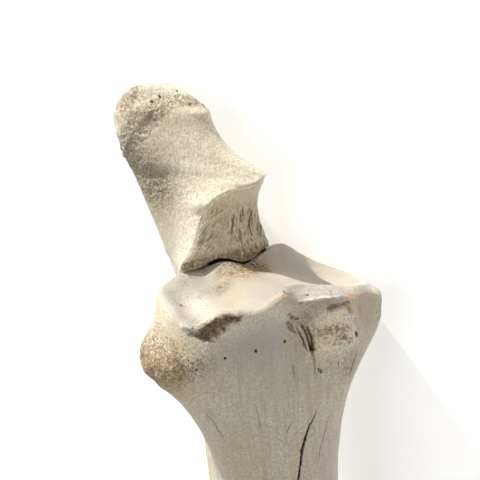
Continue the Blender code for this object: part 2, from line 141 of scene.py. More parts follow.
# The front rim of the medial cup, which is cut to a soft bevel.
MEDIAL_RIM = [
    (2, -24, 2.4), (8, -24.4, 1.6), (19, -23.8, 0.8), (27, -23.6, -0.2), (34, -22.4, -0.6),
    (42, -19.4, -2.5), (50, -16.5, -4.6), (56, -13, -6.3), (61, -7, -7.6), (64, 3, -8.5),
]
# Painted lines by colour: strength, and points with the half width there.
RADIUS_STROKES = {
    "crack": (
        (0.95, [(13.4, -25, -60, -0.1), (11.5, -25.1, -63.2, 0.12), (8.2, -25.4, -67, 0.3),
         (5.6, -25.6, -72, 0.55), (3.1, -25.8, -77.9, 0.6), (2.1, -26, -83.3, 0.45),
         (0.5, -26.3, -89.6, 0.4), (-1.6, -26.8, -98, 0.3), (-3.6, -27, -112, -0.1)]),
        (0.6, [(12.7, -24.5, -26, 0), (13, -24.5, -28, 0.45), (13.4, -24.6, -30, 0)]),
    ),
    "soil": (
        (0.3, [(-20, -23.1, -45, -0.2), (-18.5, -23.2, -52.8, 0.08), (-17.5, -23.3, -58.6, 0.12),
         (-16.8, -23.3, -66, -0.2)]),
        (0.3, [(23.6, -23.2, -60, -0.2), (18.2, -24.1, -71.3, 0.12), (13.2, -25.2, -82.2, 0.1),
         (10.6, -25.8, -94, -0.2)]),
        (0.3, [(-44.5, -11.6, -46, -0.2), (-37.8, -14.3, -54.5, 0.16), (-34.4, -14.1, -62, 0.16),
         (-31, -14.3, -71, -0.2)]),
        (0.45, [(1.7, -24.6, -28.8, -0.2), (1.8, -24.6, -35.8, 0.2), (2.1, -24.7, -42.3, -0.1)]),
        (0.45, [(13.5, -24.6, -31, 0.3), (13.7, -24.7, -38.7, 0.18), (13.1, -24.7, -45.1, -0.2)]),
        (0.4, [(0.3, -25.3, -61, -0.1), (-3.5, -25.2, -64.7, 0.15), (-5.3, -25.3, -70, -0.2)]),
        (0.45, [(38.5, -24.4, -34.5, -0.1), (36.5, -23, -42.4, 0.25), (34.5, -21.6, -49, -0.1)]),
        (0.5, [(26.7, -25.9, -36.8, 0), (26.9, -25.4, -40.2, 0.2)]),
        (0.85, [(5.5, -24.2, -15, -0.1), (7.3, -24.4, -20.1, 0.15), (9, -24.5, -24.9, 0.2),
         (9.9, -24.5, -28, -0.1)]),
        (0.9, [(8.4, -23.9, -14, -0.1), (10.2, -24.3, -18.9, 0.2), (11.4, -24.4, -23.6, 0.25),
         (12.6, -24.5, -28.6, 0.3)]),
        (0.9, [(11.3, -24.1, -15.5, 0), (12.7, -24.4, -20.7, 0.25), (13.6, -24.5, -24.7, 0.3),
         (13.5, -24.6, -28.5, 0.5)]),
        (0.4, [(14.9, -24.3, -17.2, 0), (16.4, -24.5, -19, 0.3), (18.2, -24.7, -19.3, 0)]),
        (0.35, [(20.4, -25, -18.6, 0), (22, -25.1, -19.8, 0.25), (24.2, -25.5, -20.1, 0)]),
        (0.35, [(26.4, -25.8, -21.6, 0), (28, -26.1, -23.7, 0.25), (30.6, -26.4, -25.6, 0)]),
        (0.6, [(2.3, -24.2, -8.1, 0.4), (2.5, -24.2, -8.4, 0.4)]),
        (0.7, [(3.6, -23.8, -10, 0.6), (4.2, -23.8, -10.3, 0.4)]),
        (0.7, [(5.9, -23.8, -11.2, 0.5), (6.8, -23.8, -11.6, 0.4)]),
        (0.6, [(0.7, -24.1, -12.1, 0.7), (2.4, -24.2, -15, 0.9), (3.6, -24.3, -17.2, 0.3)]),
        (0.7, [(0.8, -23.8, 2.2, 0.35), (1.3, -23.8, 2, 0.35)]),
        (0.8, [(13.8, -24.3, -1.7, 0.45), (14.3, -24.3, -1.7, 0.35)]),
        (0.6, [(12.4, -24.5, -0.2, 0.3), (12.8, -24.5, 0.1, 0.3)]),
        (0.5, [(26.9, -23.7, -2.8, 0.3), (27.5, -23.7, -3, 0.3)]),
        (0.6, [(34.6, -22.7, -11, 0), (35.2, -22.6, -9.8, 0.3), (36.6, -22.4, -9.4, 0.3),
         (37.6, -22.5, -10.8, 0)]),
        (0.95, [(15.7, -24.9, -38.9, 0.4), (17, -24.9, -40.8, 0.45)]),
    ),
    "moss": (
        (0.65, [(24.4, -23, -10.6, 0.2), (28, -22.9, -10, 0.8), (31.7, -22.8, -9.9, 0.8),
         (34, -22.5, -9.7, 0.5)]),
    ),
    "joint": (
        (0.9, [(8, -24.4, -3.9, -0.1), (13.5, -23.8, -4.1, 0.4), (19.3, -23.6, -4.5, 0.4),
         (25.2, -23.1, -5.5, 0.3), (29.8, -22.6, -7.2, -0.1)]),
        (0.7, [(25.2, -23.6, -12.3, 0), (28.8, -23.6, -12.5, 0.5), (32.9, -23.3, -12.2, 0.3)]),
        (0.8, [(6.7, -24.1, -15.3, 0.1), (8.5, -24.4, -22.3, 0.35), (10.9, -24.5, -28.5, 0)]),
        (0.8, [(10.1, -24.1, -16.4, 0.2), (11, -24.4, -21, 0.35), (12, -24.5, -25.6, 0.1)]),
        (0.7, [(5.4, -24.3, -18, -0.1), (7.7, -24.4, -23.3, 0.3), (10.1, -24.5, -30.2, 0)]),
        (0.6, [(17.4, -24.9, -41.6, 0.3), (18.2, -24.8, -44, 0.1)]),
        (0.8, [(38, -22, -8.4, 0.3), (42.6, -21.2, -9.2, 0.3)]),
    ),
    "orange": (
        (0.5, [(35.7, -22.6, -10.8, 0.3), (36.4, -23, -12.2, 0.7), (37, -23.4, -14, 0)]),
        (0.85, [(35.6, -22.1, -8, 0), (37.6, -21.8, -7, 0.5), (40.9, -21.3, -7.4, 0.55),
         (44.8, -20.6, -9.8, 0)]),
        (0.6, [(15.9, -24.5, -19.6, 0.2), (18.8, -24.8, -19.4, 0.5), (21.7, -25.2, -19.8, 0.1)]),
        (0.5, [(19.2, -25, -20.9, 0), (22.5, -25.4, -21.3, 0.4), (26, -25.8, -22.3, 0.1)]),
        (0.6, [(16.9, -24.9, -22.1, 0.1), (18.2, -25, -22.8, 0.45), (19.7, -25.2, -23.4, 0.1)]),
        (0.5, [(25.5, -25.9, -24, 0.1), (29, -26.2, -25.3, 0.4), (32.3, -26.3, -27.2, 0.1)]),
        (0.45, [(27.5, -26, -22.6, 0.1), (29.8, -26.2, -23.4, 0.35)]),
        (0.4, [(14.4, -24.5, -23.7, 0.1), (15.6, -24.6, -26.5, 0.3), (16.9, -24.8, -29.2, 0)]),
    ),
    "ochre": (
        (0.5, [(-11.8, -25.1, -3.2, 0.8), (-7.6, -25.1, -1.4, 1), (-3.9, -24.6, 0.4, 1),
         (-1, -24.5, 1.3, 0.6)]),
        (0.6, [(-1.8, -24.6, -21, 0.5), (-1, -24.6, -24, 0.3)]),
        (0.4, [(19, -24.9, -43.3, 0.4), (16.8, -24.7, -47.3, 0.5), (15.8, -24.7, -54, 0.2)]),
        (0.45, [(0.9, -25.1, -52.5, 0.1), (-0.5, -25.2, -59, 0.5), (-1.4, -25.2, -63, 0)]),
        (0.5, [(2.6, -25.6, -67, 0.1), (1, -25.6, -73, 1.4), (-0.4, -25.8, -80, 1.6),
         (-2.2, -26.2, -90, 0.6)]),
        (0.5, [(-26.4, -21.4, -49, 0.5), (-25.8, -21.4, -50.4, 0.6)]),
        (0.5, [(-14, -24, -63.8, 0.3), (-13.6, -24, -65.6, 0.7)]),
    ),
}
ULNA_STROKES = (
    (0.75, [(1.7, 26.6, 32.4, -0.1), (1.3, 26.6, 29.4, 0.3), (0.4, 26.3, 26, 0.3),
     (-1.4, 24.9, 21, -0.1)]),
    (0.7, [(7.3, 26, 35, -0.1), (6.9, 26.4, 31, 0.25), (6.6, 26.5, 27.5, -0.1)]),
    (0.8, [(12.6, 26.5, 33, -0.1), (11.2, 26.4, 29, 0.35), (9.6, 26, 25.2, 0.35),
     (10.1, 24.8, 20.5, -0.1)]),
    (0.6, [(16.8, 25.8, 26, -0.1), (15.6, 25, 21.5, 0.3), (14.2, 23.9, 17.5, -0.1)]),
    (0.5, [(4.4, 25.8, 25.5, -0.1), (3.9, 25, 21, 0.25), (3.2, 23.2, 15.5, -0.1)]),
)
# The side rim of the elbow notch, and its line in the solid, before it leans forward.
NOTCH_RIDGE = [
    (-30.3, 22.6, 10.8), (-26.2, 22.7, 13), (-22, 23.7, 18.2), (-18.4, 25.6, 23.4),
    (-15.7, 26.6, 29.4), (-14.2, 25.2, 36), (-12.2, 20.7, 40.7), (-8.3, 18.2, 43.9),
    (-4.2, 14.9, 46.3), (1.5, 11.7, 47.4), (6.3, 9, 48.5), (9.9, 5.4, 52.7),
]
SOLID_RIDGE = NOTCH_RIDGE[:5] + [
    (-13.8, 26, 35.8), (-10.3, 24.5, 39.6), (-6.3, 22.1, 42.8), (-2.2, 18.8, 45.2),
    (3.5, 15.6, 46.3), (8.3, 12.9, 47.4), (10.2, 6, 52.5),
]
# Small holes: centre and radius.
RADIUS_HOLES = (
    ((38, -25.2, -25.8), 1.3), ((-17.1, -23.5, -21.9), 0.75), ((-31.9, -21.1, -22.7), 0.55),
    ((-1.9, -24.6, -20.6), 0.75), ((-45.6, -18.4, -25.9), 0.4), ((-48.4, -16.9, -21.1), 0.35),
    ((-62, 6.9, -23.1), 0.8), ((-41, 2.9, -0.3), 0.35), ((39.5, -24, -18.4), 0.4),
)
ULNA_HOLES = (
    ((-25.8, 54.8, 90.6), 0.8), ((-20.5, 55.3, 93), 0.75), ((-22.4, 58.3, 93.6), 0.5),
    ((-29, 22.7, 12), 0.4), ((-9.9, 58.1, 93.4), 0.5), ((-9.2, 44.8, 87.2), 0.55),
)
# Stains, and a few spots of painted shade and shadow: centre, spread and strength.
RADIUS_STAINS = {
    "ochre": (
        ((-60, 3, -25), (10, 17, 11), 1.1), ((21, -25, -20.5), (7, 6, 2), 0.4),
        ((36.3, -23, -12), (1.5, 4, 2), 0.9), ((26, -26, -23.5), (6, 5, 3.5), 0.4),
        ((-33, -20, -3), (10, 4, 2.5), 0.7), ((47, -20, -18), (6, 6, 7), 0.5),
        ((-53, -13, -28), (3.5, 4, 9), 0.6), ((12.6, -24.8, -50), (1.5, 3, 5), 0.35),
        ((66, -4, -24), (8, 15, 10), 0.45), ((0, 14, 6), (10, 6.5, 3.5), 1),
        ((-4, -4, 4), (6, 9, 4), 0.3), ((-16, 1, 0), (3.5, 5.5, 2.5), 0.35),
        ((-16.6, -7.8, -2), (2.5, 3, 2), 0.5), ((0, -25, -1.5), (2.5, 3, 3.5), 0.6),
        ((0, 0, -775), (60, 60, 22), 0.35),
    ),
    "soil": (
        ((-17.5, 8, 1.5), (3.2, 2.6, 2), 0.9), ((-41, 2.9, -0.3), (1.6, 1.6, 1), 0.5),
        ((-1.4, 13.3, 5.8), (7, 4.5, 3), 1.2), ((6.5, 14, 5.2), (3, 4.5, 2.5), 1.3),
        ((-3.2, 4.5, 5), (3, 3, 2), 0.5), ((7, -24.7, 0), (3.5, 3, 2), 0.4),
        ((-6, 17, 7), (5, 3.5, 3), 1), ((1, 18, 6), (7, 3, 3), 0.8),
        ((2.2, -24.2, -16), (1.6, 2, 2.8), 0.75), ((9.5, -24.4, -24), (3, 3, 5), 0.35),
        ((13.2, -24.6, -28.6), (1.2, 3, 3), 0.5), ((-53.2, -14, -27), (1.3, 3, 8), 0.45),
        ((38, -25, -41), (5, 4, 5), 0.35),
    ),
    "moss": (
        ((12, -23.5, -11.4), (5, 3, 1.9), 0.7), ((-44, -15, -12), (4, 4, 3), 0.4),
        ((43.7, -22.1, -15.6), (0.8, 3, 1.6), 0.4), ((39.5, -24.5, -21.7), (0.8, 3, 2), 0.4),
    ),
    "olive": (
        ((9, -24, -12.2), (6, 3, 2), 1), ((8, -24.6, -38), (6, 4, 8), 0.75),
        ((-9, -24.5, -42), (8, 4, 7), 0.55), ((-46, -13.5, -14), (4, 4, 3), 0.6),
        ((22, -25.6, -33), (3, 4, 4.5), 0.8), ((-38, -19.5, -14), (6, 4, 3), 0.55),
        ((-28, -20, -76), (9, 6, 14), 0.5), ((10, -24.5, -20), (5, 4, 6), 0.4),
    ),
    "lilac_and_shade": (
        ((34, 2, -1), (22, 24, 8), 0.85), ((-50, -7, -9), (3, 4.5, 4), 0.5),
        ((19, -24, -88), (7, 5, 16), 0.7), ((4, -24.5, -2), (6, 3, 3), 0.45),
        # Painted shade: the first spot below darkens the medial wall under the rim, which faces
        # away from the light.
        ((49, -19, -17), (6.5, 7, 8), 1.3), ((20, -23.8, -7.6), (8, 3, 2), 0.6),
        ((-44, 8, 1), (5, 7, 4), 0.35), ((7, -24.7, 0), (4, 3, 2.5), 0.6),
        ((0, -9, 4), (11, 13, 5), 0.8), ((-20, 3, -1), (4.5, 9, 4), 1.1),
        ((-15, 12, 3), (6, 7, 4), 0.5), ((-46, -6, -2), (4, 6, 4), 0.4),
    ),
    "ash_and_shade": (
        # Painted shade: the first spot below, on the wall under the saddle's crest, and the first
        # spot of the line after it, on the medial wall under the rim, darken walls that face away
        # from the light.
        ((-12, -24.5, -16), (15, 6, 8), 0.9), ((-3, -24.5, -30), (16, 6, 10), 0.3),
        ((47, -21, -17), (5, 6, 7), 0.7), ((-27, -22, -22), (9, 5, 7), 0.4),
        # Painted shadow: the next spot darkens the core of the ulna's shadow on the medial cup.
        ((28, 14, 1), (9, 8, 8), 0.85),
    ),
}
ULNA_STAINS = {
    "ochre": (
        ((-34, 66, 90), (6, 7, 9), 0.6), ((-20, 50, 85), (18, 7, 5), 0.45),
        ((-22, 60, 90), (16, 16, 14), 0.12), ((-5.5, 27, 61), (2.5, 2.5, 2), 0.5),
        ((-16, 25, 23), (5, 4, 4), 0.5), ((3, 23, 11), (11, 3, 2.5), 0.9),
        ((-6, 30, 62), (5, 8, 7), 0.25), ((8, 24, 24), (9, 6, 8), 0.35),
        ((-10, 25, 36), (5, 4, 3.5), 0.6), ((-5, 48, 88), (10, 5, 4), 0.4),
    ),
    "soil": (
        ((-16, 25.3, 23), (3, 3, 2.4), 0.55), ((-19.5, 24.4, 19.5), (2, 2, 1.6), 0.5),
        ((3, 23, 11), (9, 3, 2), 0.55), ((-5.4, 47.8, 88), (4, 3, 2), 0.5),
    ),
    "olive": (((-29, 58, 50), (12, 9, 14), 0.5),),
    "lilac_and_shade": (
        ((2, 13, 54), (7, 7, 4), 0.5), ((-27, 44, 19), (8, 8, 8), 0.9),
        ((14, 25, 26), (5, 5, 9), 0.5),
    ),
}
# Places on the radius: the middle of each cup, and the centre and spread of rough zones.
LATERAL_CUP, MEDIAL_CUP = (-31, 4, -2), (33, 3, -1)
RADIUS_ZONES = {
    "tuberosity": ((-60, 2, -26), (10, 17, 11)),
    "fins": ((9, -24.5, -20), (7, 6, 8)),
    "rough patch": ((23.5, -25.5, -24), (8.5, 7, 5.6)),
    "medial side": ((64, -4, -22), (9, 15, 10)),
}
RADIUS_WRINKLES = (
    ((20, -25, -20), (8, 4, 1.7), 0.6), ((29, -26, -24.5), (4.5, 4, 4), 0.5),
    ((36, -24, -42), (8, 6, 10), 0.4), ((-40, -15, -24), (10, 6, 6), 0.4),
)
RADIUS_LINES = [row for rows in RADIUS_STROKES.values() for row in rows]
HOLLOW_UNDER_LIP = [
    (-43.5, -15, -10), (-40, -17.7, -10.2), (-36, -18.8, -8.6), (-32.7, -19.6, -7.2),
    (-28.4, -22, -5.6), (-24.5, -23, -5),
]
HOLLOW_FRINGE = [(-45, -14, -9), (-39, -17, -7), (-34, -20, -5), (-28, -22.6, -4)]
LATERAL_EDGE = [
    (-47, 14, 4), (-49, 9, 3), (-50, -3, -2), (-46.4, -11.5, -5.9), (-43, -14.4, -7.6),
]
BETWEEN_CUPS = [(-3, 20, 7), (-1, 8, 5), (-3, -4, 4), (-1, -18, 4)]
TUBER_GROOVE = [(-31, 62, 92), (-25, 55, 91), (-21, 53, 90.5)]
ULNA_SPECKLES = (
    ((-33, 63, 56), (22, 8, 9), 1), ((-30, 58, 45), (22, 8, 10), 0.7),
    ((-25, 48, 52), (22, 6, 8), 0.4), ((-24, 45, 36), (22, 7, 9), 0.35),
)
# How the grain is stretched along the bone.
LENGTHWISE = (1.0, 1.0, 14.0)


def lay_down():
    """The turn and the move, in metres, that take the upright forearm onto the floor."""
    up = Vector((math.cos(REST_BEARING), math.sin(REST_BEARING), REST_LEAN)).normalized()
    along = (Vector((0.0, 0.0, 1.0)) - up * up.z).normalized()
    return Matrix.Translation(REST_MOVE * MM) @ Matrix((along, up.cross(along), up)).to_4x4()


LAY_DOWN = lay_down()


def ease(low, high, values):
    """0 at low, 1 at high, smooth between; low may be the larger one."""
    t = np.clip((values - low) / (high - low), 0.0, 1.0)
    return t * t * (3.0 - 2.0 * t)


def zone(places, centre, spread):
    """1 at the centre, falling away smoothly, for each place."""
    return np.exp(-0.5 * (((places - np.array(centre)) / np.array(spread)) ** 2).sum(axis=1))


def stains(places, spots):
    """The sum of some stains, for each place."""
    return sum(strength * zone(places, centre, spread) for centre, spread, strength in spots)


def along_line(places, line):
    """For each piece of a line: its step, and the offset of each place from its nearest point."""
    for start, end in zip(np.array(line[:-1], float), np.array(line[1:], float)):
        step = end - start
        t = np.clip((places - start) @ step / (step @ step), 0.0, 1.0)
        yield step, places - start - t[:, None] * step


def distance_to_line(places, line):
    return np.min([np.linalg.norm(offset, axis=1) for step, offset in along_line(places, line)],
                  axis=0)


def near(places, line, spread):
    """1 on a line, falling away smoothly, for each place."""
    return np.exp(-0.5 * (distance_to_line(places, line) / spread) ** 2)


def from_elbow(places):
    """Distance from the axis of the elbow, for each place."""
    return np.hypot(places[:, 1] - ELBOW_Y, places[:, 2] - ELBOW_Z)


def bevel(places, line, width):
    """The steps that cut a soft bevel along the rim of a cup, with the cup to the left of it."""
    widest = width.max()
    steps, nearest = np.zeros_like(places), np.full(len(places), 2.0 * widest)
    for step, offset in along_line(places, line):
        gap = np.linalg.norm(offset, axis=1)
        inward = np.array((-step[1], step[0], 0.0)) / np.hypot(step[0], step[1])
        over = np.clip(width - offset @ inward + offset[:, 2], 0.0, 1.5 * widest)
        over = np.where(over < 2.0, over * over / 4.0, over - 1.0) / 2.0
        closer = gap < nearest
        steps[closer] = (over[:, None] * (inward - np.array((0.0, 0.0, 1.0))))[closer]
        nearest = np.minimum(nearest, gap)
    return steps * (ease(2.0 * widest, 1.5 * widest, nearest) * ease(0.0, 2.0, width))[:, None]


def stroke(places, points):
    """1 inside a line of points with half widths, 0 just outside it, from front to back."""
    flat = np.array((1.0, 0.12, 1.0))
    nearest = np.full(len(places), 1e9)
    for start, end in zip(np.array(points[:-1], float), np.array(points[1:], float)):
        step, offset = (end - start)[:3] * flat, (places - start[:3]) * flat
        t = np.clip(offset @ step / (step @ step), 0.0, 1.0)
        gap = np.linalg.norm(offset - t[:, None] * step, axis=1)
        nearest = np.minimum(nearest, gap - start[3] - t * (end[3] - start[3]))
    return ease(0.24, -0.06, nearest)


def strokes(places, table):
    """The strongest of some strokes, for each place."""
    return np.max([strength * stroke(places, points) for strength, points in table],
                  axis=0, initial=0.0)


def holes(places, table, grow=1.0):
    """1 inside small holes, made larger or smaller, and 0 outside them."""
    flat = np.array((1.0, 0.5, 1.0))
    total = np.zeros(len(places))
    for centre, radius in table:
        gap = np.linalg.norm((places - np.array(centre)) * flat, axis=1)
        total = np.maximum(total, ease(1.2 * grow * radius, 0.65 * grow * radius, gap))
    return total


def from_marks(places, stroke_table, hole_table):
    """Distance to the nearest stroke or hole."""
    gaps = [distance_to_line(places, [point[:3] for point in points])
            for strength, points in stroke_table]
    gaps += [np.linalg.norm(places - np.array(centre), axis=1) - radius
             for centre, radius in hole_table]
    return np.min(gaps, axis=0)


def grain(places, size, octaves, stretch=(1.0, 1.0, 1.0), where=None, seed=0.0):
    """Smooth noise from about -1 to 1, with features of a size in millimetres."""
    fading, gap = 0.9, 2.1
    scaled = places / (size * np.array(stretch)) + seed
    values = np.zeros(len(places))
    chosen = range(len(places)) if where is None else np.nonzero(where > 0.02)[0]
    for i in chosen:
        values[i] = noise.fractal(Vector(scaled[i]), fading, gap, octaves)
    return values


def roughen(places, amount, size, octaves, seed=0.0, stretch=(1.0, 1.0, 1.0)):
    """Noise times an amount, only where there is some of it."""
    return amount * grain(places, size, octaves, stretch, amount, seed)


def ripple(places, amount, stroke_table, hole_table):
    """The places, shifted a little near the marks, so that the marks come out uneven."""
    close = (from_marks(places, stroke_table, hole_table) < 2.0).astype(float)
    shifts = [grain(places, 1.6, 2, where=close, seed=seed) for seed in (21.0, 27.0, 33.0)]
    return places + amount * np.array(shifts).T


class Bone:
    """A fine copy of a node, with its points in the frame of the upright forearm."""

    def __init__(self, node):
        made = bmesh.new()
        made.from_mesh(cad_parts[node].data)
        bmesh.ops.remove_doubles(made, verts=made.verts, dist=1e-6)
        bmesh.ops.join_triangles(
            made,
            faces=made.faces,
            angle_face_threshold=math.radians(50.0),
            angle_shape_threshold=math.radians(60.0),
        )
        coarse = bpy.data.meshes.new(node + "_coarse")
        made.to_mesh(coarse)
        made.free()
        self.piece = bpy.data.objects.new(node + "_bone", coarse)
        bpy.context.scene.collection.objects.link(self.piece)
        finer = self.piece.modifiers.new("finer", "SUBSURF")
        finer.levels = finer.render_levels = 1
        shaped = self.piece.evaluated_get(bpy.context.evaluated_depsgraph_get())
        mesh = bpy.data.meshes.new_from_object(shaped)
        self.piece.modifiers.clear()
        self.piece.data = mesh
        bpy.data.meshes.remove(coarse)
        mesh.name = node + "_bone"
        self.read()

    def read(self):
        mesh = self.piece.data
        places, normals = np.empty(len(mesh.vertices) * 3), np.empty(len(mesh.vertices) * 3)
        mesh.vertices.foreach_get("co", places)
        mesh.vertices.foreach_get("normal", normals)
        turn = np.array(LAY_DOWN.to_3x3())
        self.places = (places.reshape(-1, 3) * MM_PER_METRE - np.array(REST_MOVE)) @ turn
        self.normals = normals.reshape(-1, 3) @ turn

    def edit(self):
        made = bmesh.new()
        made.from_mesh(self.piece.data)
        made.verts.ensure_lookup_table()
        return made

    def save(self, made):
        made.to_mesh(self.piece.data)
        made.free()
        self.read()

    def split(self, chosen):
        """Divides the faces whose points are all chosen."""
        made = self.edit()
        inside = set(np.nonzero(chosen)[0].tolist())
        whole = {
            face.index for face in made.faces if all(vert.index in inside for vert in face.verts)
        }
        edges = [
            edge for edge in made.edges if any(face.index in whole for face in edge.link_faces)
        ]
        bmesh.ops.subdivide_edges(
            made, edges=edges, cuts=1, use_grid_fill=True, smooth=1.0, use_smooth_even=True
        )
        self.save(made)

    def soften(self, chosen, rounds):
        made = self.edit()
        verts = [made.verts[i] for i in np.nonzero(chosen)[0]]
        for _ in range(rounds):
            bmesh.ops.smooth_vert(
                made, verts=verts, factor=0.5, use_axis_x=True, use_axis_y=True, use_axis_z=True
            )
        self.save(made)

    def shift(self, steps):
        """Moves each point by its own step, in millimetres, but not below the floor."""
        turn = np.array(LAY_DOWN.to_3x3())
        self.places = self.places + steps
        laid = (self.places @ turn.T + np.array(REST_MOVE)) * MM
        laid[:, 2] = np.maximum(laid[:, 2], 0.0)
        self.piece.data.vertices.foreach_set("co", laid.ravel())
        self.piece.data.update()
        self.read()

    def pull(self, step, amount):
        """Moves the points by one step times an amount for each."""
        self.shift(np.array(step) * amount[:, None])

    def keep(self, name, values):
        """Stores one number per point, for the material."""
        layer = self.piece.data.attributes.new(name, "FLOAT", "POINT")
        layer.data.foreach_set("value", np.clip(values, 0.0, 1.0))

    def finish(self, node, material):
        self.piece.data.materials.clear()
        self.piece.data.materials.append(material)
        self.piece.data.shade_smooth()
        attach(self.piece, "root")
        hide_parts(node)


def carve_radius(bone, settings):
    # Finer at both ends, on the front of the head, along the marks and at the medial rim.
    z = bone.places[:, 2]
    bone.split((z > HEAD_ABOVE) | (z < CARPAL_BELOW))
    p, n = bone.places, bone.normals
    bone.split((n[:, 1] < -0.3) & (p[:, 2] > -40.0) & (p[:, 0] > -53.0) & (p[:, 0] < 46.0))
    marks = from_marks(bone.places, RADIUS_LINES, RADIUS_HOLES)
    bone.split((marks < MARK_NEAR) & (bone.places[:, 2] < -40.0))
    bone.split(from_marks(bone.places, RADIUS_LINES, RADIUS_HOLES) < MARK_CLOSE)
    rim = distance_to_line(bone.places, MEDIAL_RIM)
    bone.split((rim < RIM_NEAR) & (bone.normals[:, 1] > -0.3))

    # The bevel of the medial rim, softened most at its medial end, and the lower corner there.
    x, y, z = bone.places.T
    width = 6.5 * ease(-3.0, 8.0, x) - 3.9 * ease(36.0, 50.0, x)
    bone.shift(bevel(bone.places, MEDIAL_RIM, width * ease(9.0, 0.0, y)) * settings.carving)
    bone.soften(distance_to_line(bone.places, MEDIAL_RIM) < RIM_NEAR, 6)
    bone.soften(distance_to_line(bone.places, MEDIAL_RIM[-5:]) < 6.0, 6)
    bone.pull((0.0, 0.0, -1.3), zone(bone.places, (59, -13, -8), (5, 5, 4)))

    # Where each form and finish is.
    p, n = bone.places, bone.normals
    x, y, z = p.T
    cup = ease(0.3, 0.7, n[:, 2]) * ease(*CUP_EDGE, z)
    carpal = ease(0.45, 0.8, -n[:, 2]) * ease(*CARPAL_FACE, z)
    joint = np.maximum(cup, carpal)
    wall = 1.0 - cup
    # The bevelled front rim of the medial cup and its medial corner: paler bone, and also painted
    # lighter as a painted highlight where they catch the key light.
    pale_and_lit_rim = ease(9.5, 5.0, distance_to_line(p, MEDIAL_RIM)) * ease(-17.0, -8.0, z)
    pale_and_lit_rim = ease(1.0, 8.0, x) * np.maximum(pale_and_lit_rim, zone(p, (62, -2, -8), (7, 10, 8)))

    hollow = distance_to_line(p, HOLLOW_UNDER_LIP)
    ragged = grain(p, 3.2, 3, where=(hollow < 8.0).astype(float))
    hollow += 2.2 * ease(-31.0, -24.0, x) + 2.0 * ease(-39.0, -44.5, x)
    hollow = ease(5.2, 1.4, hollow + 1.5 * ragged) * ease(0.45, 0.1, n[:, 2])
    tuberosity, fins, patch, medial = (zone(p, *spot) * wall for spot in RADIUS_ZONES.values())
    rim_band = near(p, RADIUS_FORMS["shelf"][0], 4.0) * wall
    ends = ease(*CARPAL_END, z) * (1.0 - joint)
    shaft = ease(-30.0, -70.0, z) * ease(-745.0, -690.0, z)

    # How far each point is pushed out.
    push = sum(height * near(p, line, spread) for line, spread, height in RADIUS_FORMS.values())
    push -= hollow * (3.2 - 1.1 * ragged)
    push += 0.9 * roughen(p, tuberosity, 6.0, 4, 3.0)
    push += 0.6 * roughen(p, fins, 2.0, 3, 5.0, (1.0, 1.0, 2.2))
    push += 1.1 * roughen(p, patch, 2.0, 3, 7.0, (1.4, 1.0, 1.0))
    push += 0.6 * roughen(p, medial, 6.0, 3, 9.0)
    push += 0.25 * roughen(p, rim_band, 2.6, 3, 10.0)
    push += 0.5 * roughen(p, ends, 7.0, 4, 11.0)
    push += 0.3 * roughen(p, shaft, 5.0, 2, 13.0, LENGTHWISE)
    push += 0.4 * roughen(p, cup, 9.0, 3, 15.0)
    push -= 2.2 * cup * (zone(p, LATERAL_CUP, (9, 9, 9)) + zone(p, MEDIAL_CUP, (13, 11, 9)))
    push += 0.9 * cup * near(p, BETWEEN_CUPS, 3.5)
    push += 0.35 * (1.0 - joint) * grain(p, 22.0, 2, seed=17.0)
    wavy = ripple(p, 0.35, RADIUS_LINES, RADIUS_HOLES)
    front = ease(0.3, 0.0, n[:, 1])
    drawn = {kind: front * strokes(wavy, table) for kind, table in RADIUS_STROKES.items()}
    crack = np.maximum(drawn["crack"], 0.6 * holes(wavy, RADIUS_HOLES, 0.6))
    soil = np.maximum(drawn["soil"], 0.9 * holes(wavy, RADIUS_HOLES))
    push -= 1.1 * crack + 0.5 * soil
    bone.shift(n * (push * settings.carving)[:, None])

    # What the material reads.
    pits = sum(
        near(p, line, 0.7 * spread) for line, spread, height in RADIUS_FORMS.values()
        if height < -1.35
    )
    # The part of the saddle that lies under the ulna's foot, painted black as a painted shadow in
    # the gap between the bones.
    start = 23.2 + 1.4 * ease(-12.0, -18.0, x) - 4.0 * np.exp(-0.5 * ((x + 1.0) / 5.0) ** 2)
    shadow_under_ulna = ease(0.0, 1.2, y - start) * ease(36.0, 32.0, y) * cup
    shadow_under_ulna *= ease(-19.0, -13.0, x) * ease(18.5, 16.5, x)
    edge = near(p, LATERAL_EDGE, 0.9) + near(p, RADIUS_FORMS["crest of saddle"][0], 0.8)
    edge += 0.6 * near(p, RADIUS_FORMS["lip"][0], 0.6)
    bone.keep("joint", joint)
    bone.keep("rough", 0.8 * tuberosity + hollow + 0.4 * fins + 0.6 * medial + 0.5 * rim_band
              + 0.6 * ends + 0.8 * cup * stains(p, RADIUS_STAINS["soil"]))
    bone.keep("grey", ease(-12.0, -30.0, z) * (1.0 - 0.6 * tuberosity) * (1.0 - ends))
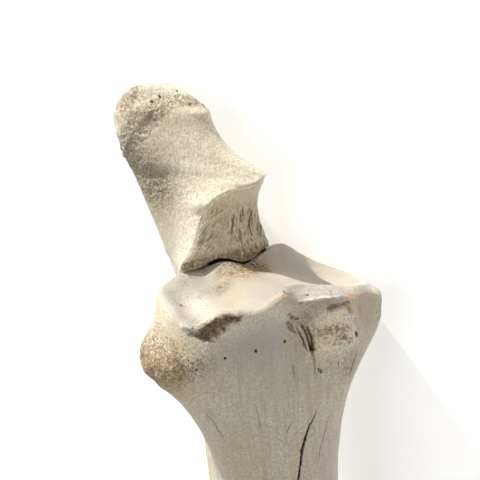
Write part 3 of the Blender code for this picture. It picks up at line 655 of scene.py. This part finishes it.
    # Paler bone on the lateral cup, the rim band, the edges, the rough patch and the drawn lines,
    # with a painted highlight on the medial rim and a painted reflection on the shaft beside the
    # long crack, towards the medial side.
    bone.keep("pale_and_lit", 0.35 * cup * ease(-8.0, -18.0, x) + pale_and_lit_rim + 0.3 * rim_band + 0.5 * edge
              + 1.7 * patch + drawn["joint"] + 0.35 * zone(p, (20, -22, -90), (7, 8, 24)))
    bone.keep("hollow", hollow * (0.85 + 0.3 * ragged) + 0.4 * pits * wall)
    bone.keep("cream", 1.7 * patch + 0.5 * wall * zone(p, (23, -24.5, -15.5), (8, 5, 3.5))
              + 0.6 * drawn["joint"])
    bone.keep("painted_gap_shadow", shadow_under_ulna)
    bone.keep("crack", crack)
    broken = ease(-0.3, 0.2, grain(p, 1.1, 2, where=patch, seed=41.0))
    bone.keep("orange", drawn["orange"] * np.where(patch > 0.1, broken, 1.0))
    bone.keep("wrinkled", 0.9 * tuberosity + 0.4 * hollow + 0.8 * near(p, HOLLOW_FRINGE, 1.3)
              + wall * stains(p, RADIUS_WRINKLES))
    bone.keep("line", soil)
    painted = {
        "ochre": 0.6 * holes(p, RADIUS_HOLES, 1.9) + drawn["ochre"],
        "moss": drawn["moss"],
        "lilac_and_shade": cup * (0.35 + 0.85 * ease(6.0, 14.0, x)) * (1.0 - pale_and_lit_rim)
        - 0.3 * cup * zone(p, LATERAL_CUP, (8, 7, 9)),
        "ash_and_shade": (0.5 * ease(10.0, 2.0, x) + 0.5 * zone(p, (0, -13, 3), (11, 11, 6)))
        * cup * (1.0 - zone(p, LATERAL_CUP, (7, 7, 9))),
    }
    for name, spots in RADIUS_STAINS.items():
        bone.keep(name, stains(p, spots) + painted.get(name, 0.0))


def carve_ulna(bone, settings):
    # The outer side of the blade is rounded, most of all next to the notch.
    for rounds, reach, far in ((22, 34.0, 48.0), (10, 34.0, 54.0), (4, 32.0, 59.0)):
        p = bone.places
        bone.soften((p[:, 2] > -12.0) & (p[:, 2] < 64.0) & (from_elbow(p) > reach)
                    & (bone.normals[:, 0] < 0.1) & (p[:, 1] < far), rounds)
    # The rim of the notch leans forward near the beak, and the foot has a lobe over the saddle.
    bone.pull((0.0, 0.0, -1.8), zone(bone.places, (-8, 22.8, 13), (4.5, 4, 2.5)))
    z = bone.places[:, 2]
    lean = ease(34.0, 40.0, z) * ease(54.0, 48.0, z) * near(bone.places, SOLID_RIDGE, 6.0)
    bone.pull((-0.435, -0.864, 0.242), 4.5 * lean)
    bone.pull((-1.0, -3.0, -0.1), zone(bone.places, (0, 22.8, 9.5), (6, 3.5, 2.8)))

    # Finer above, on the weathered back and the notch, along the marks and on the ridge.
    bone.split(bone.places[:, 2] > ULNA_ABOVE)
    p, n = bone.places, bone.normals
    bone.split((n[:, 0] < 0.3) & (p[:, 2] > 62.0) & (p[:, 2] < 94.0) | (n[:, 1] < -0.5)
               & (p[:, 2] > 7.0) & (p[:, 2] < 42.0) & (p[:, 1] < 30.0))
    bone.split((from_marks(bone.places, ULNA_STROKES, ULNA_HOLES) < MARK_CLOSE)
               | (distance_to_line(bone.places, NOTCH_RIDGE) < RIDGE_NEAR))
    p, n = bone.places, bone.normals
    x, y, z = p.T
    back = y * math.cos(ULNA_TURN) - x * math.sin(ULNA_TURN)
    side = x * math.cos(ULNA_TURN) + y * math.sin(ULNA_TURN)
    gap = from_elbow(p)
    facing = -(n[:, 1] * (y - ELBOW_Y) + n[:, 2] * (z - ELBOW_Z)) / np.maximum(gap, 1.0)
    notch = ease(0.45, 0.75, facing) * ease(32.0, 28.5, gap) * ease(7.0, 9.0, z)
    beneath = ease(0.45, 0.8, -n[:, 2]) * ease(16.0, 12.5, z) * ease(2.0, 6.0, z)
    outside = 1.0 - notch

    # The growth line, an uneven step with a rough band under it and the cap above it.
    high = (z > 55.0).astype(float)
    wobble = 0.7 * roughen(p, high, 5.0, 3) + 0.45 * roughen(p, high, 1.6, 1, 2.0)
    above = (z - GROWTH_LINE + GROWTH_SLOPE * back) / 1.4
    above += 0.5 * np.clip(x + 14.0, 0.0, 12.0) + wobble
    behind = ease(40.0, 46.0, back)
    cap = ease(-0.4, 1.2, above) * behind
    open_seam = 0.2 + 0.8 * ease(55.5, 58.0, back) * ease(71.0, 67.0, back)
    seam = np.exp(-0.5 * (above / 0.5) ** 2) * behind * high
    band = ease(-9.0, -1.5, above) * ease(0.3, -0.6, above) * ease(38.0, 46.0, back) * high
    crown = cap * np.clip(ease(9.0, 3.0, above) + zone(p, (-33, 66, 92), (8, 7, 8)), 0.0, 1.0)
    lateral = ease(2.0, -4.0, side - 2.0) * outside * (1.0 - cap)
    speckled = np.clip(stains(p, ULNA_SPECKLES), 0.0, 1.0) * outside * (1.0 - cap)
    streaks = np.clip(1.7 * zone(p, (9, 26, 23), (8, 8, 8)), 0.0, 1.0) * notch
    foot = ease(17.0, 11.0, z) * ease(6.0, 9.0, z) * ease(26.0, 23.5, y)

    push = 0.35 * cap - 0.9 * seam * open_seam * (1.0 + 0.6 * wobble)
    push += 0.5 * seam * (1.0 - open_seam)
    push += 0.9 * roughen(p, band, 1.9, 2)
    push += 1.0 * roughen(p, cap, 11.0, 2, 3.0)
    push += 0.7 * roughen(p, crown, 2.6, 3, 4.0)
    push -= 1.6 * near(p, TUBER_GROOVE, 3.0)
    push += 0.5 * roughen(p, speckled, 3.0, 4, 5.0)
    push += 0.3 * outside * grain(p, 14.0, 3, seed=7.0)
    push += 0.3 * roughen(p, streaks, 2.2, 2, 9.0, (0.6, 1.0, 3.0))
    push += 0.5 * roughen(p, foot, 2.6, 3, 11.0)
    wavy = ripple(p, 0.4, ULNA_STROKES, ULNA_HOLES)
    crack = 0.6 * holes(wavy, ULNA_HOLES, 0.7)
    soil = np.maximum(strokes(wavy, ULNA_STROKES), 0.9 * holes(wavy, ULNA_HOLES))
    push -= 1.0 * crack + 0.5 * soil
    push += 0.35 * near(p, NOTCH_RIDGE, 1.0) - 0.5 * notch * near(p, NOTCH_RIDGE, 2.2)
    # What faces the radius stays as it is, but for a little more room over the saddle.
    towards_radius = ease(0.0, -0.4, n[:, 1]) * ease(9.0, 6.0, z)
    push *= (1.0 - towards_radius) * (1.0 - beneath)
    push -= 1.5 * ease(0.0, 0.6, -n[:, 2]) * zone(p, (-5, 24, 10.5), (5.5, 5, 4))
    bone.shift(n * (push * settings.carving)[:, None])

    ridge = distance_to_line(p, NOTCH_RIDGE)
    sharp = ease(1.6, 0.5, ridge)
    bone.keep("tan", notch * ease(0.6, 1.6, ridge))
    bone.keep("rough", 0.1 * cap + 0.35 * crown + 0.55 * band + 0.7 * speckled + 0.7 * foot)
    bone.keep("wrinkled", 0.5 * crown + 0.5 * band + 0.9 * foot)
    bone.keep("grey", speckled + 0.25 * lateral * ease(32.0, 44.0, back) + 0.5 * ease(0, -30, z))
    # Paler bone on the ridge, the band, the cap and a chip, and painted highlights: the two zones
    # on the lateral face, next to the ridge and in its middle, are painted lighter where light
    # falls.
    bone.keep("pale_and_lit", sharp + zone(p, (-21, 35, 28), (9, 6, 16)) + 0.4 * band
              + 0.7 * zone(p, (-14, 36, 58), (12, 9, 16)) + 0.5 * cap
              + stroke(p, [(-6.6, 27.2, 60.6, 0.3), (-4.4, 26.6, 61.6, 0.5)]))
    bone.keep("hollow", 0.4 * seam * open_seam)
    # The cream on the band and the seam is partly painted light, lightening the groove of the
    # growth line where it lies in shade.
    bone.keep("cream", 0.6 * sharp + 0.4 * cap + 0.5 * band + 0.4 * seam
              + 0.5 * zone(p, (-17, 32, 30), (7, 6, 14)))
    # Painted shadow: the underside of the foot is painted black, as the shade in the gap over the
    # radius.
    bone.keep("painted_gap_shadow", beneath * ease(-22.0, -14.0, x))
    bone.keep("speckled", speckled)
    bone.keep("streaks", streaks + 0.55 * foot)
    bone.keep("hatched", notch * (zone(p, (-9, 26, 35), (5, 6, 5))
                                  + zone(p, (-15, 26, 22), (5, 5, 5))))
    bone.keep("crack", crack)
    bone.keep("line", soil)
    painted = {"ochre": 0.45 * holes(p, ULNA_HOLES, 2.0) + 0.5 * near(p, NOTCH_RIDGE[5:], 0.9)}
    for name, spots in ULNA_STAINS.items():
        bone.keep(name, stains(p, spots) + painted.get(name, 0.0))


def colour(value):
    return (*value, 1.0)


class Recipe:
    """Builds the nodes of a material, in the frame of the upright forearm, in millimetres."""

    def __init__(self, name, settings):
        self.settings = settings
        self.material = bpy.data.materials.new(name)
        self.material.use_nodes = True
        self.tree = self.material.node_tree
        self.shader = self.tree.nodes["Principled BSDF"]
        turn = LAY_DOWN.to_3x3().transposed()
        place = self.tree.nodes.new("ShaderNodeTexCoord").outputs["Object"]
        mapping = self.tree.nodes.new("ShaderNodeMapping")
        self.tree.links.new(place, mapping.inputs["Vector"])
        mapping.inputs["Scale"].default_value = (MM_PER_METRE, MM_PER_METRE, MM_PER_METRE)
        mapping.inputs["Rotation"].default_value = turn.to_euler()
        mapping.inputs["Location"].default_value = -(turn @ REST_MOVE)
        self.place = mapping.outputs["Vector"]
        self.tone, self.height = colour(settings.clean), 0.0

    def give(self, socket, value):
        if isinstance(value, bpy.types.NodeSocket):
            self.tree.links.new(value, socket)
        else:
            socket.default_value = value

    def math(self, operation, first, second=0.0, clamp=False):
        node = self.tree.nodes.new("ShaderNodeMath")
        node.operation, node.use_clamp = operation, clamp
        self.give(node.inputs[0], first)
        self.give(node.inputs[1], second)
        return node.outputs[0]

    def times(self, first, *rest):
        for value in rest:
            first = self.math("MULTIPLY", first, value)
        return first

    def less(self, first, second):
        return self.math("SUBTRACT", first, second)

    def level(self, value, low, high):
        """0 at low, 1 at high, smooth between; low may be the larger one."""
        node = self.tree.nodes.new("ShaderNodeMapRange")
        node.interpolation_type = "SMOOTHSTEP"
        self.give(node.inputs["Value"], value)
        ends = (low, high, 0.0, 1.0) if low < high else (high, low, 1.0, 0.0)
        for name, end in zip(("From Min", "From Max", "To Min", "To Max"), ends):
            node.inputs[name].default_value = end
        return node.outputs["Result"]

    def noise(self, size, detail=3.0, roughness=0.55, stretch=(1.0, 1.0, 1.0), turn=None):
        """Cloudy noise with features of a size in millimetres, stretched and turned."""
        place = self.place
        if turn:
            node = self.tree.nodes.new("ShaderNodeVectorRotate")
            node.rotation_type = "EULER_XYZ"
            node.inputs["Rotation"].default_value = turn
            self.tree.links.new(place, node.inputs["Vector"])
            place = node.outputs["Vector"]
        spread = self.tree.nodes.new("ShaderNodeVectorMath")
        spread.operation = "MULTIPLY"
        self.tree.links.new(place, spread.inputs[0])
        spread.inputs[1].default_value = tuple(1.0 / (size * part) for part in stretch)
        node = self.tree.nodes.new("ShaderNodeTexNoise")
        node.inputs["Scale"].default_value = 1.0
        node.inputs["Detail"].default_value = detail
        node.inputs["Roughness"].default_value = roughness
        self.tree.links.new(spread.outputs["Vector"], node.inputs["Vector"])
        return node.outputs["Fac"]

    def stored(self, name):
        node = self.tree.nodes.new("ShaderNodeAttribute")
        node.attribute_name = name
        return node.outputs["Fac"]

    def cover(self, name, *factors):
        """Blends a colour of the settings over the tone, as strong as the factors multiplied."""
        node = self.tree.nodes.new("ShaderNodeMix")
        node.data_type = "RGBA"
        self.give(node.inputs["Factor"], self.times(*factors))
        self.give(node.inputs[6], self.tone)
        self.give(node.inputs[7], colour(getattr(self.settings, name)))
        self.tone = node.outputs[2]

    def lift(self, *factors):
        self.height = self.math("ADD", self.height, self.times(*factors))

    def sink(self, *factors):
        self.height = self.less(self.height, self.times(*factors))


def bone_material(name, settings, on_ulna):
    r = Recipe(name, settings)
    rough, grey = r.stored("rough"), r.stored("grey")
    broad, mottled = r.noise(26.0, 3.0), r.noise(4.5, 5.0, 0.65)
    fine, tiny = r.noise(1.3, 4.0, 0.7), r.noise(0.7, 3.0, 0.6)
    fibre = r.noise(1.5, 4.0, 0.62, LENGTHWISE)
    streak = r.noise(5.0, 4.0, 0.6, (1.0, 1.0, 9.0))
    joint = None if on_ulna else r.stored("joint")

    # Clean bone, warmer and cooler in broad patches, greyer on the shaft.
    r.cover("warm", r.level(broad, 0.35, 0.65))
    r.cover("weathered", grey, 0.85)
    r.cover("shade", r.level(streak, 0.46, 0.7), grey, 0.25)
    if not on_ulna:
        r.cover("joint", joint, 0.45)
    # Pale bone, with painted highlights on the radius's medial rim and the ulna's lateral face and
    # a painted reflection on the radius's shaft.
    r.cover("edge" if on_ulna else "white", r.stored("pale_and_lit"), 0.9)
    r.cover("shade", r.level(fine, 0.5, 0.63), 0.6)
    r.cover("joint", r.level(fine, 0.47, 0.34), 0.6)
    r.cover("shade", r.level(tiny, 0.5, 0.6), 0.5)
    r.cover("shade", r.level(fibre, 0.48, 0.66), grey, 0.4)
    if on_ulna:
        r.cover("tan", r.stored("tan"), 0.8)

    # Stains, some broken up by noise; the lilac and ash greys are also painted shade and shadow on
    # the head of the radius.
    patchy, flecked = r.level(mottled, 0.3, 0.55), r.level(r.noise(1.7, 3.0, 0.6), 0.44, 0.54)
    # Cool lilac and ash grey: the bone's colour, and painted shade and a painted shadow on the
    # radius.
    r.cover("lilac_and_shade", r.stored("lilac_and_shade"), 0.75)
    if not on_ulna:
        r.cover("ash_and_shade", r.stored("ash_and_shade"), 0.75)
    r.cover("olive", r.stored("olive"), patchy, 0.7)
    r.cover("ochre", r.stored("ochre"), patchy, 0.85)
    r.cover("edge" if on_ulna else "cream", r.stored("cream"), r.level(fine, 0.62, 0.44), 0.85)
    wrinkled = r.stored("wrinkled")
    wrinkles = r.math("ABSOLUTE", r.less(r.noise(2.0, 3.0, 0.55), 0.5))
    wrinkles = r.math("ADD", wrinkles, r.times(r.less(1.0, wrinkled), 0.06))
    wrinkles = r.times(r.level(wrinkles, 0.075, 0.025), r.math("MULTIPLY", wrinkled, 2.0, True))
    r.cover("rust", wrinkles, 0.75)
    r.cover("soil", r.stored("soil"), patchy, flecked, 0.9)
    if not on_ulna:
        r.cover("moss", r.stored("moss"), r.level(fine, 0.3, 0.55), 0.85)
    r.cover("weathered_pit", r.stored("hollow"), 0.7)
    r.cover("soil", r.stored("hollow"), r.level(fine, 0.4, 0.56), 0.95)

    # Spongy pits where the bone is rough, fine flecks elsewhere, and the drawn marks.
    sponge = r.noise(1.25, 3.0, 0.55)
    r.cover("ochre", r.level(sponge, 0.54, 0.44), rough, 0.6)
    pits = r.times(r.level(sponge, 0.45, 0.36), rough)
    r.cover("soil", pits, 0.6)
    r.cover("soil", r.level(tiny, 0.34, 0.27), r.level(broad, 0.4, 0.6), 0.3)
    crack, marks = r.stored("crack"), r.stored("line")
    r.cover("soil", marks, 0.85)
    r.cover("crack", crack)

    r.height = r.times(r.less(fine, 0.5), 0.35)
    r.lift(r.less(fibre, 0.5), grey, 0.35)
    r.lift(r.less(r.noise(1.8, 4.0, 0.7), 0.5), rough, 1.8)
    if not on_ulna:
        r.height = r.times(r.height, r.less(1.0, r.times(joint, 0.3)))
    r.lift(r.less(tiny, 0.5), 0.22)
    r.sink(pits, 0.5)
    r.sink(wrinkles, 0.4)
    r.sink(r.math("MAXIMUM", marks, crack), 0.8)
    if on_ulna:
        specks = r.level(r.noise(0.95, 4.0, 0.7), 0.45, 0.58)
        r.cover("moss", specks, r.stored("speckled"), 0.8)
        splits = r.level(r.noise(1.0, 3.0, 0.6, (0.7, 1.0, 6.0)), 0.55, 0.61)
        splits = r.times(splits, r.stored("streaks"))
        r.cover("rust", splits, 0.9)
        r.sink(splits, 0.4)
        hatch = r.noise(0.8, 2.0, 0.5, (1.0, 1.0, 9.0), (0.0, math.radians(-50.0), 0.0))
        r.cover("soil", r.level(hatch, 0.46, 0.56), r.stored("hatched"), 0.75)
        fibre = r.noise(1.1, 3.0, 0.55, LENGTHWISE, (math.radians(-28.0), 0.0, 0.0))
        r.cover("shade", r.level(fibre, 0.46, 0.6), 0.4)
    else:
        r.cover("orange", r.stored("orange"))
    # Painted shadow: the gap between the bones, in the colour of cracks.
    r.cover("crack", r.level(r.stored("painted_gap_shadow"), 0.2, 0.6))

    bump = r.tree.nodes.new("ShaderNodeBump")
    bump.inputs["Strength"].default_value = 1.0
    bump.inputs["Distance"].default_value = MM * settings.relief
    r.tree.links.new(r.height, bump.inputs["Height"])
    r.tree.links.new(bump.outputs["Normal"], r.shader.inputs["Normal"])
    r.tree.links.new(r.tone, r.shader.inputs["Base Color"])
    shine = 0.68 if on_ulna else r.less(0.68, r.times(joint, 0.12))
    shine = r.math("ADD", shine, r.times(rough, 0.2), clamp=True)
    r.tree.links.new(shine, r.shader.inputs["Roughness"])
    r.shader.inputs["Specular IOR Level"].default_value = 0.3
    return r.material


def paint(name, description, default):
    """A colour that can be changed in the panel."""
    return FloatVectorProperty(
        name=name, description=description, default=default, subtype="COLOR", size=3, min=0.0,
        max=1.0,
    )


class BoneSettings(PropertyGroup):
    """Sizes and colours of the dressed bones."""

    carving: FloatProperty(
        name="Carving", description="How deep the carved forms are", default=1.0, min=0.0, max=2.0
    )
    relief: FloatProperty(
        name="Relief", description="How deep pores, grain and cracks look", default=1.7, min=0.0,
        max=3.0,
    )
    clean: paint("Clean bone", "Colour of clean bone", (0.91, 0.85, 0.69))
    warm: paint("Warm bone", "Colour of slightly yellowed bone", (0.84, 0.75, 0.565))
    joint: paint(
        "Joint surface", "Colour of the joint surfaces and worn edges", (0.88, 0.835, 0.73)
    )
    weathered: paint("Weathered bone", "Colour of the greyer shaft", (0.63, 0.585, 0.465))
    shade: paint("Grain", "Colour of the grain of the bone", (0.45, 0.385, 0.265))
    # Also the colour of the painted highlights on the ulna's lateral face.
    edge: paint("Edges", "Colour of the worn edges of the ulna", (0.96, 0.90, 0.75))
    cream: paint("Cream", "Colour of the rough patch and the thin ridges", (0.97, 0.85, 0.60))
    rust: paint("Wrinkles", "Colour in the wrinkles of rough bone", (0.40, 0.235, 0.09))
    tan: paint("Notch", "Colour of the browner joint surface in the notch", (0.70, 0.60, 0.46))
    # Cool bone and ash grey are also the colours of painted shade and shadow on the radius's head.
    lilac_and_shade: paint("Cool bone", "Colour of the cool, faintly pink bone", (0.5, 0.425, 0.35))
    ash_and_shade: paint("Ash grey", "Colour of the greyest bone of the head", (0.40, 0.385, 0.34))
    # Also the colour of the painted highlight and the painted reflection on the radius.
    white: paint("Bright bone", "Colour of the palest joint surface and edges", (0.97, 0.94, 0.87))
    moss: paint("Grey-green specks", "Colour of the specks on weathered bone", (0.2, 0.19, 0.13))
    olive: paint("Olive stain", "Colour of faintly green bone", (0.47, 0.44, 0.28))
    ochre: paint("Ochre stain", "Colour of stained bone", (0.68, 0.5, 0.29))
    orange: paint("Orange stain", "Colour of the brightest stains", (0.72, 0.38, 0.13))
    soil: paint("Soil", "Colour of the soil in pits and pores", (0.2, 0.115, 0.05))
    weathered_pit: paint(
        "Hollows", "Colour of the weathered hollow under the rim", (0.36, 0.31, 0.22)
    )
    # Also the colour of the painted shadow in the gap between the bones.
    crack: paint("Cracks", "Colour inside cracks and small holes", (0.018, 0.013, 0.009))


class StudioSettings(PropertyGroup):
    """Light, floor and camera."""

    key: FloatProperty(
        name="Key light", description="Strength of the key light", default=4.2, min=0.0
    )
    side: FloatProperty(
        name="Side light", description="Strength of the soft light from the side", default=1.25,
        min=0.0,
    )
    front: FloatProperty(
        name="Front light", description="Strength of the soft light on the shaft", default=0.85,
        min=0.0,
    )
    key_width: FloatProperty(
        name="Key width", description="Width of the key light as the bones see it",
        default=math.radians(1.5), min=0.0, subtype="ANGLE", unit="ROTATION",
    )
    fill: FloatProperty(
        name="Fill light", description="Strength of the light from all around", default=0.16,
        min=0.0,
    )
    floor: paint("Floor", "Colour of the floor", (0.93, 0.93, 0.92))
    glow: FloatProperty(
        name="Floor glow", description="How much the floor lights itself", default=0.4, min=0.0
    )
    lens: FloatProperty(
        name="Lens", description="Focal length of the camera, in millimetres",
        default=SENSOR * FOCAL_PIXELS / PICTURE_PIXELS, min=1.0,
    )


def make_bone(context, node, carve):
    settings = context.scene.bone_settings
    bone = Bone(node)
    carve(bone, settings)
    bone.finish(node, bone_material(node + "_bone", settings, node == "ulna"))


class BONES_OT_radius(Operator):
    """Makes the dressed radius"""

    bl_idname = "bones.radius"
    bl_label = "Radius"

    def execute(self, context):
        make_bone(context, "radius", carve_radius)
        return {"FINISHED"}


class BONES_OT_ulna(Operator):
    """Makes the dressed ulna"""

    bl_idname = "bones.ulna"
    bl_label = "Ulna"

    def execute(self, context):
        make_bone(context, "ulna", carve_ulna)
        return {"FINISHED"}


def stage_piece(made, name, finish, base, glow):
    """A piece of the stage from a bmesh, with a material that lights itself, and its shader."""
    mesh = bpy.data.meshes.new(name)
    made.to_mesh(mesh)
    made.free()
    piece = bpy.data.objects.new(name, mesh)
    bpy.context.scene.collection.objects.link(piece)
    material = bpy.data.materials.new(finish)
    material.use_nodes = True
    shader = material.node_tree.nodes["Principled BSDF"]
    shader.inputs["Base Color"].default_value = colour(base)
    shader.inputs["Emission Color"].default_value = (1.0, 1.0, 1.0, 1.0)
    shader.inputs["Emission Strength"].default_value = glow
    mesh.materials.append(material)
    return piece, shader


def make_floor(settings):
    made = bmesh.new()
    bmesh.ops.create_grid(made, x_segments=1, y_segments=1, size=FLOOR_REACH)
    floor, shader = stage_piece(made, "floor", "floor_paper", settings.floor, settings.glow)
    shader.inputs["Roughness"].default_value = 0.9
    shader.inputs["Specular IOR Level"].default_value = 0.2


def make_screen():
    """A pale screen far around, which the light passes through."""
    made = bmesh.new()
    bmesh.ops.create_cone(
        made, cap_ends=False, segments=96, radius1=SCREEN_RADIUS, radius2=SCREEN_RADIUS,
        depth=SCREEN_HEIGHT, matrix=Matrix.Translation((0.0, 0.0, SCREEN_HEIGHT / 2.0)),
    )
    screen, shader = stage_piece(made, "screen", "screen_cloth", (0.0, 0.0, 0.0), 1.0)
    screen.visible_diffuse = screen.visible_glossy = screen.visible_shadow = False


def make_light(scene, settings):
    # Strength, width, colour and the direction that the light comes from.
    for name, energy, width, shade, toward in (
        ("key", settings.key, settings.key_width, (1.0, 0.985, 0.955), (-0.41, 0.27, 0.871)),
        ("side", settings.side, math.radians(50.0), (1.0, 0.98, 0.95), (-0.97, -0.22, 0.02)),
        ("front", settings.front, math.radians(60.0), (1.0, 1.0, 1.0), (0.1, -0.94, -0.3)),
    ):
        light = bpy.data.lights.new(name, "SUN")
        light.energy, light.angle, light.color = energy, width, shade
        lamp = bpy.data.objects.new(name, light)
        scene.collection.objects.link(lamp)
        lamp.rotation_mode = "QUATERNION"
        lamp.rotation_quaternion = (LAY_DOWN.to_3x3() @ Vector(toward)).to_track_quat("Z", "Y")

    world = bpy.data.worlds.new("soft light")
    world.use_nodes = True
    sky = world.node_tree.nodes["Background"]
    sky.inputs["Color"].default_value = (0.97, 0.98, 1.0, 1.0)
    sky.inputs["Strength"].default_value = settings.fill
    scene.world = world
    scene.view_settings.view_transform = "Standard"


def camera_view():
    """The camera's turn and place, in metres, in the frame of the upright forearm."""
    level = Vector((math.cos(BEARING), -math.sin(BEARING), 0.0))
    ahead = Vector((
        math.sin(BEARING) * math.cos(DIP), math.cos(BEARING) * math.cos(DIP), -math.sin(DIP)
    ))
    upward = level.cross(ahead)
    right = math.cos(ROLL) * level - math.sin(ROLL) * upward
    above = math.sin(ROLL) * level + math.cos(ROLL) * upward
    aside, down, away = HEAD_IN_VIEW
    view = Matrix((right, above, -ahead)).transposed().to_4x4()
    view.translation = -(aside * right - down * above + away * ahead) * MM
    return view


def make_camera(scene, settings):
    camera = bpy.data.objects.new("camera", bpy.data.cameras.new("camera"))
    scene.collection.objects.link(camera)
    camera.matrix_world = LAY_DOWN @ camera_view()
    camera.data.sensor_width = SENSOR
    camera.data.lens = settings.lens
    camera.data.clip_start, camera.data.clip_end = 0.01, 100.0
    scene.camera = camera


class BONES_OT_studio(Operator):
    """Makes the floor, the light and the camera"""

    bl_idname = "bones.studio"
    bl_label = "Studio"

    def execute(self, context):
        scene, settings = context.scene, context.scene.studio_settings
        make_floor(settings)
        make_screen()
        make_light(scene, settings)
        make_camera(scene, settings)
        return {"FINISHED"}


class BONES_PT_panel(Panel):
    """Lists the pieces and their settings"""

    bl_idname = "BONES_PT_panel"
    bl_label = "Giraffe Forearm Bones"
    bl_space_type = "VIEW_3D"
    bl_region_type = "UI"
    bl_category = "Bones"

    def draw(self, context):
        for name in BoneSettings.__annotations__:
            self.layout.prop(context.scene.bone_settings, name)
        for kind in (BONES_OT_radius, BONES_OT_ulna):
            self.layout.operator(kind.bl_idname)
        for name in StudioSettings.__annotations__:
            self.layout.prop(context.scene.studio_settings, name)
        self.layout.operator(BONES_OT_studio.bl_idname)


CLASSES = (
    BoneSettings, StudioSettings, BONES_OT_radius, BONES_OT_ulna, BONES_OT_studio, BONES_PT_panel,
)


def register():
    for kind in CLASSES:
        bpy.utils.register_class(kind)
    bpy.types.Scene.bone_settings = PointerProperty(type=BoneSettings)
    bpy.types.Scene.studio_settings = PointerProperty(type=StudioSettings)


def unregister():
    del bpy.types.Scene.bone_settings
    del bpy.types.Scene.studio_settings
    for kind in reversed(CLASSES):
        bpy.utils.unregister_class(kind)


def main():
    register()
    bpy.ops.bones.radius()
    bpy.ops.bones.ulna()
    bpy.ops.bones.studio()


if __name__ == "__main__":
    main()
